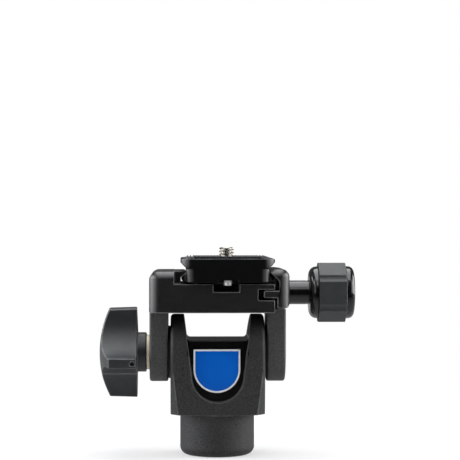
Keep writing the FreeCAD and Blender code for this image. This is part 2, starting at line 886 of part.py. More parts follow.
def lobe_section(x0, x1):
    """Lobes left between the finger scoops, with rounded corners."""
    section = cylinder("x", tilt_knob_radius + past, 0, tilt_axis_height, x0, x1)
    half_chord = tilt_knob_radius * math.sin(math.radians(scoop_half_angle))
    chord_distance = tilt_knob_radius * math.cos(math.radians(scoop_half_angle))
    sagitta = chord_distance - scoop_floor_radius
    scoop_radius = (half_chord ** 2 + sagitta ** 2) / (2 * sagitta)
    reach = scoop_floor_radius + scoop_radius
    for lobe in range(lobe_count):
        turn = math.radians(180 - scoop_tilt + lobe * 360 / lobe_count)
        centre_y = reach * math.cos(turn)
        centre_z = tilt_axis_height + reach * math.sin(turn)
        section = section.cut(cylinder("x", scoop_radius, centre_y, centre_z, x0 - past, x1 + past))

    def along_corner(p):
        return math.hypot(p.y, p.z - tilt_axis_height) > tilt_knob_radius

    corners = [e for e in edges_where(section, along_corner) if near(e.Length, x1 - x0)]
    corners = [e for e in corners if len(e.Vertexes) == 2 and e.Curve.TypeId == "Part::GeomLine"]
    return section, corners


def make_tilt_knob():
    """Moulded four-lobed knob with a domed face and a hub."""
    x0 = tilt_knob_rim - dome_height - past
    rim = Vector(tilt_knob_rim, 0, tilt_axis_height + tilt_knob_rim_radius)
    pole = Vector(tilt_knob_rim - dome_height, 0, tilt_axis_height)
    dome_radius = (tilt_knob_rim_radius ** 2 + dome_height ** 2) / (2 * dome_height)
    turn = math.asin(tilt_knob_rim_radius / dome_radius) / 2
    middle = Vector(
        pole.x + dome_radius * (1 - math.cos(turn)), 0, tilt_axis_height + dome_radius * math.sin(turn))
    corner = Vector(tilt_knob_right, 0, tilt_axis_height + tilt_knob_radius)
    floor = Vector(tilt_knob_right, 0, tilt_axis_height)
    body = Part.Face(Part.Wire([
        Part.Arc(pole, middle, rim).toShape(),
        Part.LineSegment(rim, corner).toShape(),
        Part.LineSegment(corner, floor).toShape(),
        Part.LineSegment(floor, pole).toShape(),
    ])).revolve(floor, Vector(1, 0, 0), 360)
    section, corners = lobe_section(x0, tilt_knob_right)
    section = section.makeFillet(lobe_round, corners)
    body = body.common(section)
    hub = turned_x([
        (tilt_knob_right - past, 0),
        (tilt_knob_right - past, hub_radius),
        (hub_right, hub_radius, hub_edge_round),
        (hub_right, 0),
    ], tilt_axis_height)
    body = body.fuse(hub)
    body = body.cut(cylinder(
        "x", knob_nut_radius + press_clearance, 0, tilt_axis_height, knob_nut_left, hub_right + past))
    start, direction = grub_line()
    body = body.cut(Part.makeCylinder(grub_radius + press_clearance, big, start, direction))
    return body.removeSplitter()


def grub_line():
    """Start and direction of the radial screw, through the middle of the front lobe."""
    lean = math.radians(180 / lobe_count - scoop_tilt)
    direction = Vector(0, -math.cos(lean), -math.sin(lean))
    start = Vector(tilt_knob_right - grub_offset, 0, tilt_axis_height)
    return start + direction * (knob_nut_radius - grub_engagement), direction


def make_knob_nut():
    """Brass nut moulded into the tilt knob, drawn at the bolt's thread size."""
    nut = cylinder(
        "x", knob_nut_radius, 0, tilt_axis_height, knob_nut_left, hub_right - knob_nut_recess)
    hole = cylinder(
        "x", axle_radius + running_clearance, 0, tilt_axis_height,
        knob_nut_left - past, hub_right + past)
    start, direction = grub_line()
    return nut.cut(hole).cut(Part.makeCylinder(grub_radius + press_clearance, big, start, direction))


def make_grub_screw():
    """Small set screw from the knob's lobe into the nut, which keeps the nut from turning."""
    start, direction = grub_line()
    length = tilt_knob_radius - grub_recess - knob_nut_radius + grub_engagement - running_clearance
    inner_end = start + direction * running_clearance
    socket_end = inner_end + direction * (length - socket_depth)
    screw = Part.makeCylinder(grub_radius, length, inner_end, direction)
    socket = Part.makeCylinder(grub_radius * socket_share, socket_depth + past, socket_end, direction)
    return screw.cut(socket)


def make_thrust_washer():
    """Brass washer between the tilt knob's hub and the left arm."""
    left = thrust_right - thrust_washer_thickness
    ring = cylinder("x", thrust_washer_radius, 0, tilt_axis_height, left, thrust_right)
    hole = axle_radius + loose_clearance
    return ring.cut(cylinder("x", hole, 0, tilt_axis_height, left - past, thrust_right + past))


# Quick release plate

def plate_profile():
    """Dovetail section of the plate, seen along Y."""
    half_neck = neck_width / 2
    half_flange = flange_width / 2
    half_plate = plate_width / 2
    right = [
        (half_flange - flange_chamfer, plate_bottom),
        (half_flange, plate_bottom + flange_chamfer),
        (half_flange, flange_top),
        (half_neck, neck_bottom),
        (half_neck, neck_top),
        (half_plate, slab_bottom, slab_lower_round),
        (half_plate, plate_top, slab_upper_round),
    ]
    left = [(-p[0],) + tuple(p[1:]) for p in reversed(right)]
    return [(plate_centre + p[0],) + tuple(p[1:]) for p in right + left]


def nose_block():
    """Narrower nose under the slab, tapering a little up to the slab's slope."""
    section = [
        (plate_centre - nose_width / 2, plate_bottom),
        (plate_centre + nose_width / 2, plate_bottom),
        (plate_centre + nose_top_width / 2, neck_top + nose_rise),
        (plate_centre - nose_top_width / 2, neck_top + nose_rise),
    ]
    half_length = plate_length / 2
    plan = rounded_rectangle(
        nose_width / 2, half_length, nose_corner_round, plate_centre,
        plate_bottom - past, neck_top + past)
    return prism(section, "y", -half_length, half_length).common(plan)


def make_plate_body():
    """Dovetail plate with narrower noses, keel grooves and a slot for the camera screw."""
    half_length = plate_length / 2
    plate = prism(plate_profile(), "y", -half_length, half_length)
    plate = plate.common(rounded_rectangle(
        plate_width / 2, half_length, plate_corner_round, plate_centre,
        plate_bottom - past, plate_top + past))
    nose = nose_block()
    for side in (-1, 1):
        ends = sorted((side * (half_length - nose_length), side * (half_length + past)))
        end_zone = box(-big, big, *ends, plate_bottom - past, neck_top)
        plate = plate.cut(end_zone)
        reach = sorted((side * (half_length - nose_length - past), side * (half_length + past)))
        plate = plate.fuse(nose.common(box(-big, big, *reach, 0, big)))
    plate = plate.removeSplitter()
    half_keel = keel_groove_width / 2
    for side in (-1, 1):
        ends = sorted((side * (half_length - keel_groove_length), side * (half_length + past)))
        plate = plate.cut(box(
            plate_centre - half_keel, plate_centre + half_keel, *ends,
            plate_bottom - past, plate_bottom + keel_groove_depth))
    plate = plate.cut(slot_cutter(
        head_slot_half, head_slot_half + screw_travel, plate_centre,
        plate_bottom - past, head_ceiling))
    plate = plate.cut(slot_cutter(
        screw_slot_half, screw_slot_half + screw_travel, plate_centre,
        plate_bottom, plate_top + past))
    plate = plate.cut(rounded_rectangle(
        pad_width / 2, pad_length / 2, pad_corner_round, plate_centre, pad_seat, plate_top + past))
    shank_top = plate_bottom + keel_groove_depth + stop_screw_shank
    for side in (-1, 1):
        plate = plate.cut(cylinder(
            "z", stop_screw_shank_radius + press_clearance, plate_centre,
            side * stop_screw_place, plate_bottom, shank_top + shank_end_gap))
    return plate.removeSplitter()


def make_plate_pad():
    """Rubber pad with ribs along its length."""
    count = int(pad_width / rib_pitch)
    half = count * rib_pitch / 2
    points = [(plate_centre - pad_width / 2, pad_seat), (plate_centre + pad_width / 2, pad_seat)]
    points.append((plate_centre + pad_width / 2, pad_base_top))
    foot = rib_pitch * (0.5 - rib_foot_share)
    crest = rib_pitch * (0.5 - rib_crest_share)
    for i in range(count):
        centre = plate_centre + half - (i + 0.5) * rib_pitch
        points.append((centre + foot, pad_base_top))
        points.append((centre + crest, pad_top))
        points.append((centre - crest, pad_top))
        points.append((centre - foot, pad_base_top))
    points.append((plate_centre - pad_width / 2, pad_base_top))
    pad = prism(points, "y", -pad_length / 2, pad_length / 2)
    shape = rounded_rectangle(
        pad_width / 2 - press_clearance, pad_length / 2 - press_clearance, pad_corner_round,
        plate_centre, pad_seat - past, pad_top + past)
    pad = pad.common(shape)
    opening = screw_slot_half + loose_clearance
    return pad.cut(slot_cutter(
        opening, opening + screw_travel, plate_centre,
        pad_seat - past, pad_top + past)).removeSplitter()


def make_stop_screw(side):
    """Short pin screwed into the keel groove, which keeps the plate from sliding out."""
    seat = plate_bottom + keel_groove_depth
    screw = turned_z([
        (0, seat - stop_screw_head),
        (stop_screw_radius, seat - stop_screw_head, stop_screw_round),
        (stop_screw_radius, seat),
        (stop_screw_shank_radius, seat),
        (stop_screw_shank_radius, seat + stop_screw_shank),
        (0, seat + stop_screw_shank),
    ], plate_centre, side * stop_screw_place)
    socket = cylinder(
        "z", stop_screw_radius * socket_share, plate_centre, side * stop_screw_place,
        seat - stop_screw_head - past, seat - stop_screw_head + socket_depth)
    return screw.cut(socket)


# Camera screw

def make_camera_screw():
    """Captive screw with a coin slot, a thin neck and a thread stub over the pad."""
    head_bottom = plate_bottom + screw_head_gap
    head_top = head_bottom + screw_head_height - running_clearance
    thread_bottom = pad_top + running_clearance
    thread_top = pad_top + screw_proud
    screw = turned_z([
        (0, head_bottom),
        (screw_head_radius, head_bottom, screw_head_lower_round),
        (screw_head_radius, head_top, screw_head_upper_round),
        (screw_neck_radius, head_top),
        (screw_neck_radius, thread_bottom),
        (screw_thread_radius, thread_bottom),
        (screw_thread_radius, thread_top - screw_point_chamfer),
        (screw_thread_radius - screw_point_chamfer, thread_top),
        (0, thread_top),
    ], plate_centre)
    slot = box(plate_centre - big, plate_centre + big, -screw_slot_width / 2, screw_slot_width / 2,
               head_bottom - past, head_bottom + screw_slot_depth)
    return screw.cut(slot)


def make_screw_washer():
    """Spring washer that carries the camera screw along its slot."""
    top = head_ceiling - running_clearance
    bottom = top - screw_washer_thickness + running_clearance
    ring = cylinder("z", screw_washer_radius, plate_centre, 0, bottom, top)
    hole = screw_neck_radius + running_clearance
    return ring.cut(cylinder("z", hole, plate_centre, 0, bottom - past, top + past))


def main():
    """Builds every piece and writes one file for each."""
    badge_plate, badge_enamel = make_badge()
    nodes = {
        "base_yoke": make_base_yoke(),
        "thread_insert": make_thread_insert(),
        "badge_plate": badge_plate,
        "badge_enamel": badge_enamel,
        "axle_bush_left": make_axle_bush(-1),
        "axle_bush_right": make_axle_bush(1),
        "friction_washer_left": make_friction_washer(-1),
        "friction_washer_right": make_friction_washer(1),
        "tilt_fork": make_tilt_fork(),
        "axle_bolt": make_axle_bolt(),
        "clamp_screw_insert": make_clamp_insert(),
        "jaw_spring_front": make_jaw_spring(-1),
        "jaw_spring_rear": make_jaw_spring(1),
        "thrust_washer": make_thrust_washer(),
        "tilt_knob": make_tilt_knob(),
        "tilt_knob_nut": make_knob_nut(),
        "tilt_knob_grub_screw": make_grub_screw(),
        "moving_jaw": make_moving_jaw(),
        "guide_pin_front": make_guide_pin(-1),
        "guide_pin_rear": make_guide_pin(1),
        "clamp_knob_washer": make_knob_washer(),
        "clamp_knob_stem": make_clamp_stem(),
        "clamp_knob_grip": make_clamp_grip(),
        "clamp_knob_cap": make_clamp_cap(),
        "clamp_screw": make_clamp_screw(),
        "plate_body": make_plate_body(),
        "plate_pad": make_plate_pad(),
        "stop_screw_front": make_stop_screw(-1),
        "stop_screw_rear": make_stop_screw(1),
        "camera_screw": make_camera_screw(),
        "camera_screw_washer": make_screw_washer(),
    }
    os.makedirs("parts", exist_ok=True)
    for name, shape in nodes.items():
        box_of = shape.BoundBox
        print(name, "valid", shape.isValid(), "solids", len(shape.Solids), "volume",
              round(shape.Volume, 1), "x", round(box_of.XMin, 2), round(box_of.XMax, 2),
              "y", round(box_of.YMin, 2), round(box_of.YMax, 2),
              "z", round(box_of.ZMin, 2), round(box_of.ZMax, 2))
        shape.exportStep(os.path.join("parts", name + ".step"))


main()
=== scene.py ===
import logging
import math
from collections.abc import Callable, Sequence
from dataclasses import dataclass
from enum import Enum

import bmesh
import bpy
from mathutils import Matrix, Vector


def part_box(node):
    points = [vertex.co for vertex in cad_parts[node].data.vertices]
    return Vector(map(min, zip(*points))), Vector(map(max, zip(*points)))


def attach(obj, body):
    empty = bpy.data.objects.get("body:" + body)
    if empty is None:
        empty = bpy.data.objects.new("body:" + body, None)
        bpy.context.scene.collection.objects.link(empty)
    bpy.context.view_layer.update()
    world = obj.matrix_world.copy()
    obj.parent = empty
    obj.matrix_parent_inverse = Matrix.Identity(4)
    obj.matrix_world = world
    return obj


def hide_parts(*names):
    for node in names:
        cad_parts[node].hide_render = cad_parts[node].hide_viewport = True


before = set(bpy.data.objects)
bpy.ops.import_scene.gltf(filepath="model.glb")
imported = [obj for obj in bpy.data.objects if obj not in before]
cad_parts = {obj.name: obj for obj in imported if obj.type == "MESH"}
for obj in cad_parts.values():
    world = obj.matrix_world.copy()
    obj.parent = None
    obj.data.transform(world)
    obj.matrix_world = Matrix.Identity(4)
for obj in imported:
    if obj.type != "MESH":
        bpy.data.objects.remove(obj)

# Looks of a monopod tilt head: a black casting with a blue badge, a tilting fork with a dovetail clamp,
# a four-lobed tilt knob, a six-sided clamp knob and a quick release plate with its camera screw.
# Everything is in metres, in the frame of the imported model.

Colour = tuple[float, float, float]
Socket = bpy.types.NodeSocket
Link = Socket | float | Colour

MM = 0.001
FULL_TURN = 2 * math.pi
MERGE_DISTANCE = 0.001 * MM
CUT_TOLERANCE = 1e-6 * MM
# Faces that turn less than the first angle are one flat face. Edges over the second one are rounded.
FLAT_ANGLE = math.radians(0.5)
SHARP_ANGLE = math.radians(28.0)
# Degrees under which edges are shaded smooth, on most pieces and where a thread keeps its edges.
SMOOTH_ANGLE = 32.0
THREAD_SMOOTH_ANGLE = 25.0
FLAT_FACE_WEIGHT = 60
# A face counts as facing along an axis when its normal has at least this much of it.
FACING = 0.9
RIGHT = Vector((1, 0, 0))
UP = Vector((0, 0, 1))
ARC_STEPS = 6
LATHE_STEPS = 96
WHITE = (1.0, 1.0, 1.0)
# Nearly all of a noise lies between these values.
NOISE_RANGE = (0.3, 0.7)
# The mix node's first input and its output, for each kind of value.
MIX_SOCKETS = {"RGBA": (6, 2), "FLOAT": (2, 0)}
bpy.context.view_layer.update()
LOG = logging.getLogger("tilt_head")


class Body(Enum):
    """Rigid bodies that the pieces ride on."""

    BASE = "base"
    FORK = "fork"
    THRUST_WASHER = "thrust_washer"
    TILT_KNOB = "tilt_knob"
    JAW = "jaw"
    CLAMP_KNOB = "clamp_knob"
    PLATE = "plate"
    CAMERA_SCREW = "camera_screw"


class Mask(Enum):
    """Face masks that a finish reads from a piece."""

    # Rounded edge strips where a lighter colour is painted as a highlight.
    WORN = "highlit_edge"
    # Smoother, darker zones of a coat; on the base's wall under the clamp the darker colour is painted
    # shade.
    SATIN = "satin"


# Modelling helpers

def activate(piece: bpy.types.Object) -> None:
    """Makes one object the only selected one.

    Args:
        piece: The object that the next operators act on.
    """
    bpy.ops.object.select_all(action="DESELECT")
    piece.select_set(True)
    bpy.context.view_layer.objects.active = piece


def edit_all(piece: bpy.types.Object) -> None:
    """Opens a piece in edit mode with everything selected.

    Args:
        piece: The object to edit.
    """
    activate(piece)
    bpy.ops.object.mode_set(mode="EDIT")
    bpy.ops.mesh.select_mode(type="VERT")
    bpy.ops.mesh.select_all(action="SELECT")


def close_edit() -> None:
    """Returns to object mode."""
    bpy.ops.object.mode_set(mode="OBJECT")


def select_faces(piece: bpy.types.Object, test: Callable[[Vector, Vector], bool]) -> None:
    """Selects faces of a piece in edit mode by their middle and normal.

    Args:
        piece: The object, already in edit mode.
        test: Says whether a face with this middle and normal is selected.
    """
    bpy.ops.mesh.select_all(action="DESELECT")
    bpy.ops.mesh.select_mode(type="FACE")
    shape = bmesh.from_edit_mesh(piece.data)
    for face in shape.faces:
        face.select = test(face.calc_center_median(), face.normal)
    bmesh.update_edit_mesh(piece.data)


def apply_modifier(piece: bpy.types.Object, kind: str, **settings: object) -> None:
    """Adds a modifier, sets it and applies it.

    Args:
        piece: The object that gets the modifier.
        kind: The modifier's type.
        settings: Its properties by name.
    """
    activate(piece)
    modifier = piece.modifiers.new(kind.lower(), kind)
    for name, value in settings.items():
        setattr(modifier, name, value)
    bpy.ops.object.modifier_apply(modifier=modifier.name)


def combine(piece: bpy.types.Object, tool: bpy.types.Object, operation: str) -> None:
    """Cuts a piece with a tool, joins the two or keeps what they share.

    Args:
        piece: The object that is changed.
        tool: The other solid, which is removed afterwards.
        operation: DIFFERENCE, UNION or INTERSECT.
    """
    apply_modifier(piece, "BOOLEAN", object=tool, operation=operation, solver="EXACT")
    bpy.data.objects.remove(tool)


def copy_of_node(node: str, name: str, merge: float = MERGE_DISTANCE) -> bpy.types.Object:
    """Copies a frame node's mesh with its points merged and its flat faces joined.

    Args:
        node: The frame node.
        name: The new piece's name.
        merge: Points closer than this become one.

    Returns:
        The new object, with its place in its mesh.
    """
    piece = bpy.data.objects.new(name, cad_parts[node].data.copy())
    bpy.context.scene.collection.objects.link(piece)
    piece.data.name = name
    piece.data.materials.clear()
    activate(piece)
    bpy.ops.mesh.customdata_custom_splitnormals_clear()
    edit_all(piece)
    bpy.ops.mesh.remove_doubles(threshold=merge)
    bpy.ops.mesh.dissolve_limited(angle_limit=FLAT_ANGLE)
    close_edit()
    return piece


def soften_edges(piece: bpy.types.Object, width: float, segments: int = 2, highlight_from: float = 0.0) -> None:
    """Rounds every sharp edge of a piece and writes the rounded strips as its highlit_edge mask, where the
    finishes paint a lighter colour as a highlight.

    Args:
        piece: The object to bevel.
        width: How far the round reaches from the edge, in metres.
        segments: Faces across the round.
        highlight_from: Height over which the strips get the painted highlight.
    """
    kept_slot, strip_slot = 0, 1
    before = piece.copy()
    before.data = piece.data.copy()
    bpy.context.scene.collection.objects.link(before)
    for _ in (kept_slot, strip_slot):
        piece.data.materials.append(None)
    apply_modifier(
        piece, "BEVEL", width=width, segments=segments, limit_method="ANGLE", angle_limit=SHARP_ANGLE,
        use_clamp_overlap=False, loop_slide=False, material=strip_slot)
    draw_back(piece, before, width / 2)
    bpy.data.objects.remove(before)
    # Rounded strips over this height are marked for a painted edge highlight.
    highlit_edge = [
        1.0 if face.material_index == strip_slot and face.center.z > highlight_from else 0.0
        for face in piece.data.polygons]
    write_mask(piece, Mask.WORN, highlit_edge)
    for face in piece.data.polygons:
        face.material_index = kept_slot
    piece.data.materials.clear()


def draw_back(piece: bpy.types.Object, before: bpy.types.Object, limit: float) -> None:
    """Draws points that a bevel threw off the surface back between their neighbours.

    Args:
        piece: The bevelled object.
        before: The same object without its bevel.
        limit: Points farther than this from the old surface were thrown off.
    """
    passes = 6
    bpy.context.view_layer.update()
    edit_all(piece)
    bpy.ops.mesh.select_all(action="DESELECT")
    shape = bmesh.from_edit_mesh(piece.data)
    for point in shape.verts:
        place = before.closest_point_on_mesh(point.co)[1]
        point.select = (place - point.co).length > limit
    bmesh.update_edit_mesh(piece.data)
    bpy.ops.mesh.vertices_smooth(factor=1.0, repeat=passes)
    close_edit()


def write_mask(piece: bpy.types.Object, mask: Mask, values: Sequence[float]) -> None:
    """Stores one number for each face, where the finishes can read it.

    Args:
        piece: The object that carries the mask.
        mask: Which mask it is.
        values: A number for each face, from 0 to 1.
    """
    layer = piece.data.attributes.new(mask.value, "FLOAT", "CORNER")
    for face, value in zip(piece.data.polygons, values):
        for corner in face.loop_indices:
            layer.data[corner].value = value


def smooth(piece: bpy.types.Object, angle: float = SMOOTH_ANGLE) -> None:
    """Shades a piece smooth across gentle edges, with flat faces kept flat.

    Args:
        piece: The object to shade.
        angle: Edges sharper than this many degrees stay sharp.
    """
    activate(piece)
    bpy.ops.object.shade_smooth_by_angle(angle=math.radians(angle))
    apply_modifier(piece, "WEIGHTED_NORMAL", keep_sharp=True, weight=FLAT_FACE_WEIGHT)


def rounded(corners: Sequence[tuple[float, ...]]) -> list[tuple[float, float]]:
    """Replaces the corners of an open profile that name a radius by arcs.

    Args:
        corners: (along, radius) or (along, radius, corner radius) points.

    Returns:
        The profile as plain points.
    """
    points: list[tuple[float, float]] = []
    for index, corner in enumerate(corners):
        here = Vector(corner[:2])
        if len(corner) < 3:
            points.append((here.x, here.y))
            continue
        before = (Vector(corners[index - 1][:2]) - here).normalized()
        after = (Vector(corners[index + 1][:2]) - here).normalized()
        half = before.angle(after) / 2
        reach = corner[2] / math.tan(half)
        centre = here + (before + after).normalized() * (corner[2] / math.sin(half))
        start = here + before * reach - centre
        turn = start.angle_signed(here + after * reach - centre)
        for step in range(ARC_STEPS + 1):
            angle = -turn * step / ARC_STEPS
            offset = Vector((
                start.x * math.cos(angle) - start.y * math.sin(angle),
                start.x * math.sin(angle) + start.y * math.cos(angle)))
            points.append((centre.x + offset.x, centre.y + offset.y))
    return points


def settle(piece: bpy.types.Object) -> None:
    """Moves an object's place, turn and size into its mesh.

    Args:
        piece: The object, which is left at the origin.
    """
    activate(piece)
    bpy.ops.object.transform_apply(location=True, rotation=True, scale=True)


def block(centre: Vector, size: Sequence[float]) -> bpy.types.Object:
    """Adds an upright block.

    Args:
        centre: Its middle.
        size: Its length along X, Y and Z.

    Returns:
        The closed block.
    """
    bpy.ops.object.select_all(action="DESELECT")
    bpy.ops.mesh.primitive_cube_add(size=1.0, location=centre)
    piece = bpy.context.object
    piece.scale = size
    settle(piece)
    return piece


def draw_line(name: str, places: Sequence[Vector]) -> bpy.types.Object:
    """Draws a line by extruding a point from place to place.

    Args:
        name: The new piece's name.
        places: The line's points.

    Returns:
        The line, open in edit mode with its last point selected.
    """
    bpy.ops.object.select_all(action="DESELECT")
    bpy.ops.mesh.primitive_plane_add(size=MM, location=places[0])
    piece = bpy.context.object
    piece.name = piece.data.name = name
    settle(piece)
    edit_all(piece)
    bpy.ops.mesh.merge(type="CENTER")
    for before, after in zip(places, places[1:]):
        bpy.ops.mesh.extrude_region_move(TRANSFORM_OT_translate={"value": after - before})
    return piece


def lathe(name: str, profile: Sequence[tuple[float, float]], origin: Vector,
          axis: Vector) -> bpy.types.Object:
    """Turns a profile about an axis, as on a lathe.

    Args:
        name: The new piece's name.
        profile: (along, radius) points, from one end of the axis to the other.
        origin: The axis point that the profile's zero lies on.
        axis: The direction in which the profile runs.

    Returns:
        The closed solid.
    """
    across = axis.orthogonal().normalized()
    piece = draw_line(name, [origin + axis * along + across * radius for along, radius in profile])
    bpy.ops.mesh.select_all(action="SELECT")
    bpy.ops.mesh.spin(steps=LATHE_STEPS, angle=FULL_TURN, center=origin, axis=axis)
    bpy.ops.mesh.select_all(action="SELECT")
    bpy.ops.mesh.remove_doubles(threshold=MERGE_DISTANCE)
    bpy.ops.mesh.normals_make_consistent(inside=False)
    close_edit()
    return piece


@dataclass
class Thread:
    """Solid bar with a vertical screw thread of the sixty degree kind.

    Attributes:
        major: Radius over the crests.
        pitch: Rise in one turn.
        depth: Depth of the thread as a share of its pitch.
        spare_turns: Turns that are cut off again at the ends.
        steps: Faces in one turn.
    """

    major: float
    pitch: float
    depth: float = 0.6134
    spare_turns: int = 3
    steps: int = 64

    @property
    def minor(self) -> float:
        """Radius at the roots."""
        return self.major - self.depth * self.pitch

    def bar(self, name: str, centre: Vector, length: float) -> bpy.types.Object:
        """Builds the threaded bar.

        Args:
            name: The new piece's name.
            centre: The middle of the bar's lower end.
            length: The bar's height.

        Returns:
            The closed solid.
        """
        half_crest, half_root = self.pitch / 16, self.pitch / 8
        middle = self.pitch / 2
        piece = draw_line(name, [RIGHT * radius + UP * rise for radius, rise in (
            (self.minor, half_root),
            (self.major, middle - half_crest),
            (self.major, middle + half_crest),
            (self.minor, self.pitch - half_root),
            (self.minor, self.pitch + half_root),
        )])
        close_edit()
        turns = math.ceil(length / self.pitch) + self.spare_turns
        apply_modifier(
            piece, "SCREW", axis="Z", angle=FULL_TURN, screw_offset=self.pitch, iterations=turns,
            steps=self.steps, render_steps=self.steps, use_merge_vertices=True,
            merge_threshold=MERGE_DISTANCE)
        piece.location = centre - UP * (self.pitch * (self.spare_turns / 2))
        settle(piece)
        edit_all(piece)
        bpy.ops.mesh.remove_doubles(threshold=MERGE_DISTANCE)
        for end, cleared in ((centre, "clear_inner"), (centre + UP * length, "clear_outer")):
            bpy.ops.mesh.bisect(
                plane_co=end, plane_no=UP, use_fill=True, threshold=CUT_TOLERANCE, **{cleared: True})
            bpy.ops.mesh.select_all(action="SELECT")
        bpy.ops.mesh.normals_make_consistent(inside=False)
        close_edit()
        return piece


# Shader helpers

class Graph:
    """Adds and joins the nodes of one shader tree."""

    def __init__(self, tree: bpy.types.NodeTree) -> None:
        """Empties the tree of a material, a world or a node group."""
        self.tree = tree
        tree.nodes.clear()

    def feed(self, socket: Socket, value: Link) -> None:
        """Links a socket to another, or sets its value.

        Args:
            socket: The input socket.
            value: An output socket, a number or a colour.
        """
        if isinstance(value, bpy.types.NodeSocket):
            self.tree.links.new(value, socket)
        elif isinstance(value, tuple) and socket.type == "RGBA":
            socket.default_value = (*value, 1.0)
        else:
            socket.default_value = value

    def add(self, kind: str, inputs: dict[str | int, Link] | None = None,
            **settings: object) -> bpy.types.Node:
        """Adds a node.

        Args:
            kind: The node's type, without its ShaderNode prefix.
            inputs: Values or links for its inputs.
            settings: Its properties by name.

        Returns:
            The new node.
        """
        node = self.tree.nodes.new("ShaderNode" + kind)
        for name, value in settings.items():
            setattr(node, name, value)
        for name, value in (inputs or {}).items():
            self.feed(node.inputs[name], value)
        return node

    def math(self, operation: str, *values: Link, clamp: bool = False) -> Socket:
        """Works out an operation on some values, kept from 0 to 1 where it is clamped."""
        node = self.add("Math", dict(enumerate(values)), operation=operation, use_clamp=clamp)
        return node.outputs[0]

    def remap(self, value: Link, low: float, high: float, to_low: float, to_high: float) -> Socket:
        """Maps a value from one range to another, smoothly and within its ends.

        Args:
            value: The value.
            low: Where the range starts.
            high: Where it ends.
            to_low: The result at the start.
            to_high: The result at the end.

        Returns:
            The mapped value.
        """
        node = self.add("MapRange", {
            "Value": value, "From Min": low, "From Max": high, "To Min": to_low, "To Max": to_high,
        }, interpolation_type="SMOOTHSTEP")
        return node.outputs["Result"]

    def mix(self, factor: Link, low: Link, high: Link, kind: str = "RGBA") -> Socket:
        """Mixes two colours or two numbers.

        Args:
            factor: 0 gives the first, 1 the second.
            low: The first one.
            high: The second one.
            kind: RGBA for colours, FLOAT for numbers.

        Returns:
            The mixed one.
        """
        node = self.add("Mix", data_type=kind)
        first, result = MIX_SOCKETS[kind]
        for socket, value in (("Factor", factor), (first, low), (first + 1, high)):
            self.feed(node.inputs[socket], value)
        return node.outputs[result]

    def place(self) -> Socket:
        """Gives the place on the piece, in metres."""
        return self.add("TexCoord").outputs["Object"]

    def noise(self, where: Socket, scale: Link, detail: float = 2.0, roughness: float = 0.5) -> Socket:
        """Adds a noise texture.

        Args:
            where: The coordinate.
            scale: Cells in a metre.
            detail: Finer layers.
            roughness: How strong the finer layers are.

        Returns:
            The noise value.
        """
        node = self.add("TexNoise", {
            "Vector": where, "Scale": scale, "Detail": detail, "Roughness": roughness})
        return node.outputs[0]

    def vary(self, mean: Link, noise: Socket, spread: Link) -> Socket:
        """Lets a value swing about its mean as the noise does about a half, kept from 0 to 1."""
        swing = self.math("MULTIPLY", self.math("SUBTRACT", noise, 0.5), spread)
        return self.math("ADD", mean, swing, clamp=True)


def new_group(name: str, inputs: dict[str, float | Colour],
              outputs: dict[str, str]) -> tuple[Graph, dict[str, Socket]]:
    """Starts a shader node group.

    Args:
        name: The group's name.
        inputs: Default number or colour for each named input.
        outputs: Socket type, Float or Color, for each named output.

    Returns:
        The group's graph and its inputs by name.
    """
    tree = bpy.data.node_groups.new(name, "ShaderNodeTree")
    for label, value in inputs.items():
        kind = "NodeSocketColor" if isinstance(value, tuple) else "NodeSocketFloat"
        socket = tree.interface.new_socket(label, in_out="INPUT", socket_type=kind)
        socket.default_value = (*value, 1.0) if isinstance(value, tuple) else value
    for label, kind in outputs.items():
        tree.interface.new_socket(label, in_out="OUTPUT", socket_type="NodeSocket" + kind)
    graph = Graph(tree)
    entry = tree.nodes.new("NodeGroupInput")
    return graph, {label: entry.outputs[label] for label in inputs}


def end_group(graph: Graph, results: dict[str, Socket]) -> None:
    """Joins a group's results to its outputs.

    Args:
        graph: The group's graph.
        results: The socket for each named output.
    """
    leave = graph.tree.nodes.new("NodeGroupOutput")
    for label, socket in results.items():
        graph.tree.links.new(socket, leave.inputs[label])


class Effect(Enum):
    """Surface effects that several finishes share, each a node group."""

    GRAIN = "surface_grain"
    # Lighter colour painted along rounded edges as a highlight.
    WEAR = "painted_edge_highlight"
    MOTTLE = "colour_mottle"
    TOOL_MARKS = "tool_marks"
    SATIN_ZONE = "satin_and_shade_zone"

    def group(self) -> bpy.types.NodeTree:
        """Gives the effect's node group, which is built the first time.

        Returns:
            The node group.
        """
        found = bpy.data.node_groups.get(self.value)
        if found is None:
            builders = {
                Effect.GRAIN: build_grain,
                Effect.WEAR: build_edge_highlight,
                Effect.MOTTLE: build_mottle,
                Effect.TOOL_MARKS: build_tool_marks,
                Effect.SATIN_ZONE: build_satin_and_shade_zone,
            }
            builders[self]()
            found = bpy.data.node_groups[self.value]
        return found


def build_grain() -> None:
    """Fine raised grain with an uneven sheen."""
    broad_scale, broad_share = 0.22, 0.25
    graph, given = new_group(
        Effect.GRAIN.value,
        {"Scale": 2500.0, "Roughness": 0.5, "Spread": 0.1},
        {"Roughness": "Float", "Height": "Float"})
    where = graph.place()
    fine = graph.noise(where, given["Scale"], roughness=0.6)
    broad = graph.noise(where, graph.math("MULTIPLY", given["Scale"], broad_scale))
    height = graph.math(
        "ADD", graph.math("MULTIPLY", fine, 1 - broad_share), graph.math("MULTIPLY", broad, broad_share))
    roughness = graph.vary(given["Roughness"], broad, given["Spread"])
    end_group(graph, {"Roughness": roughness, "Height": height})


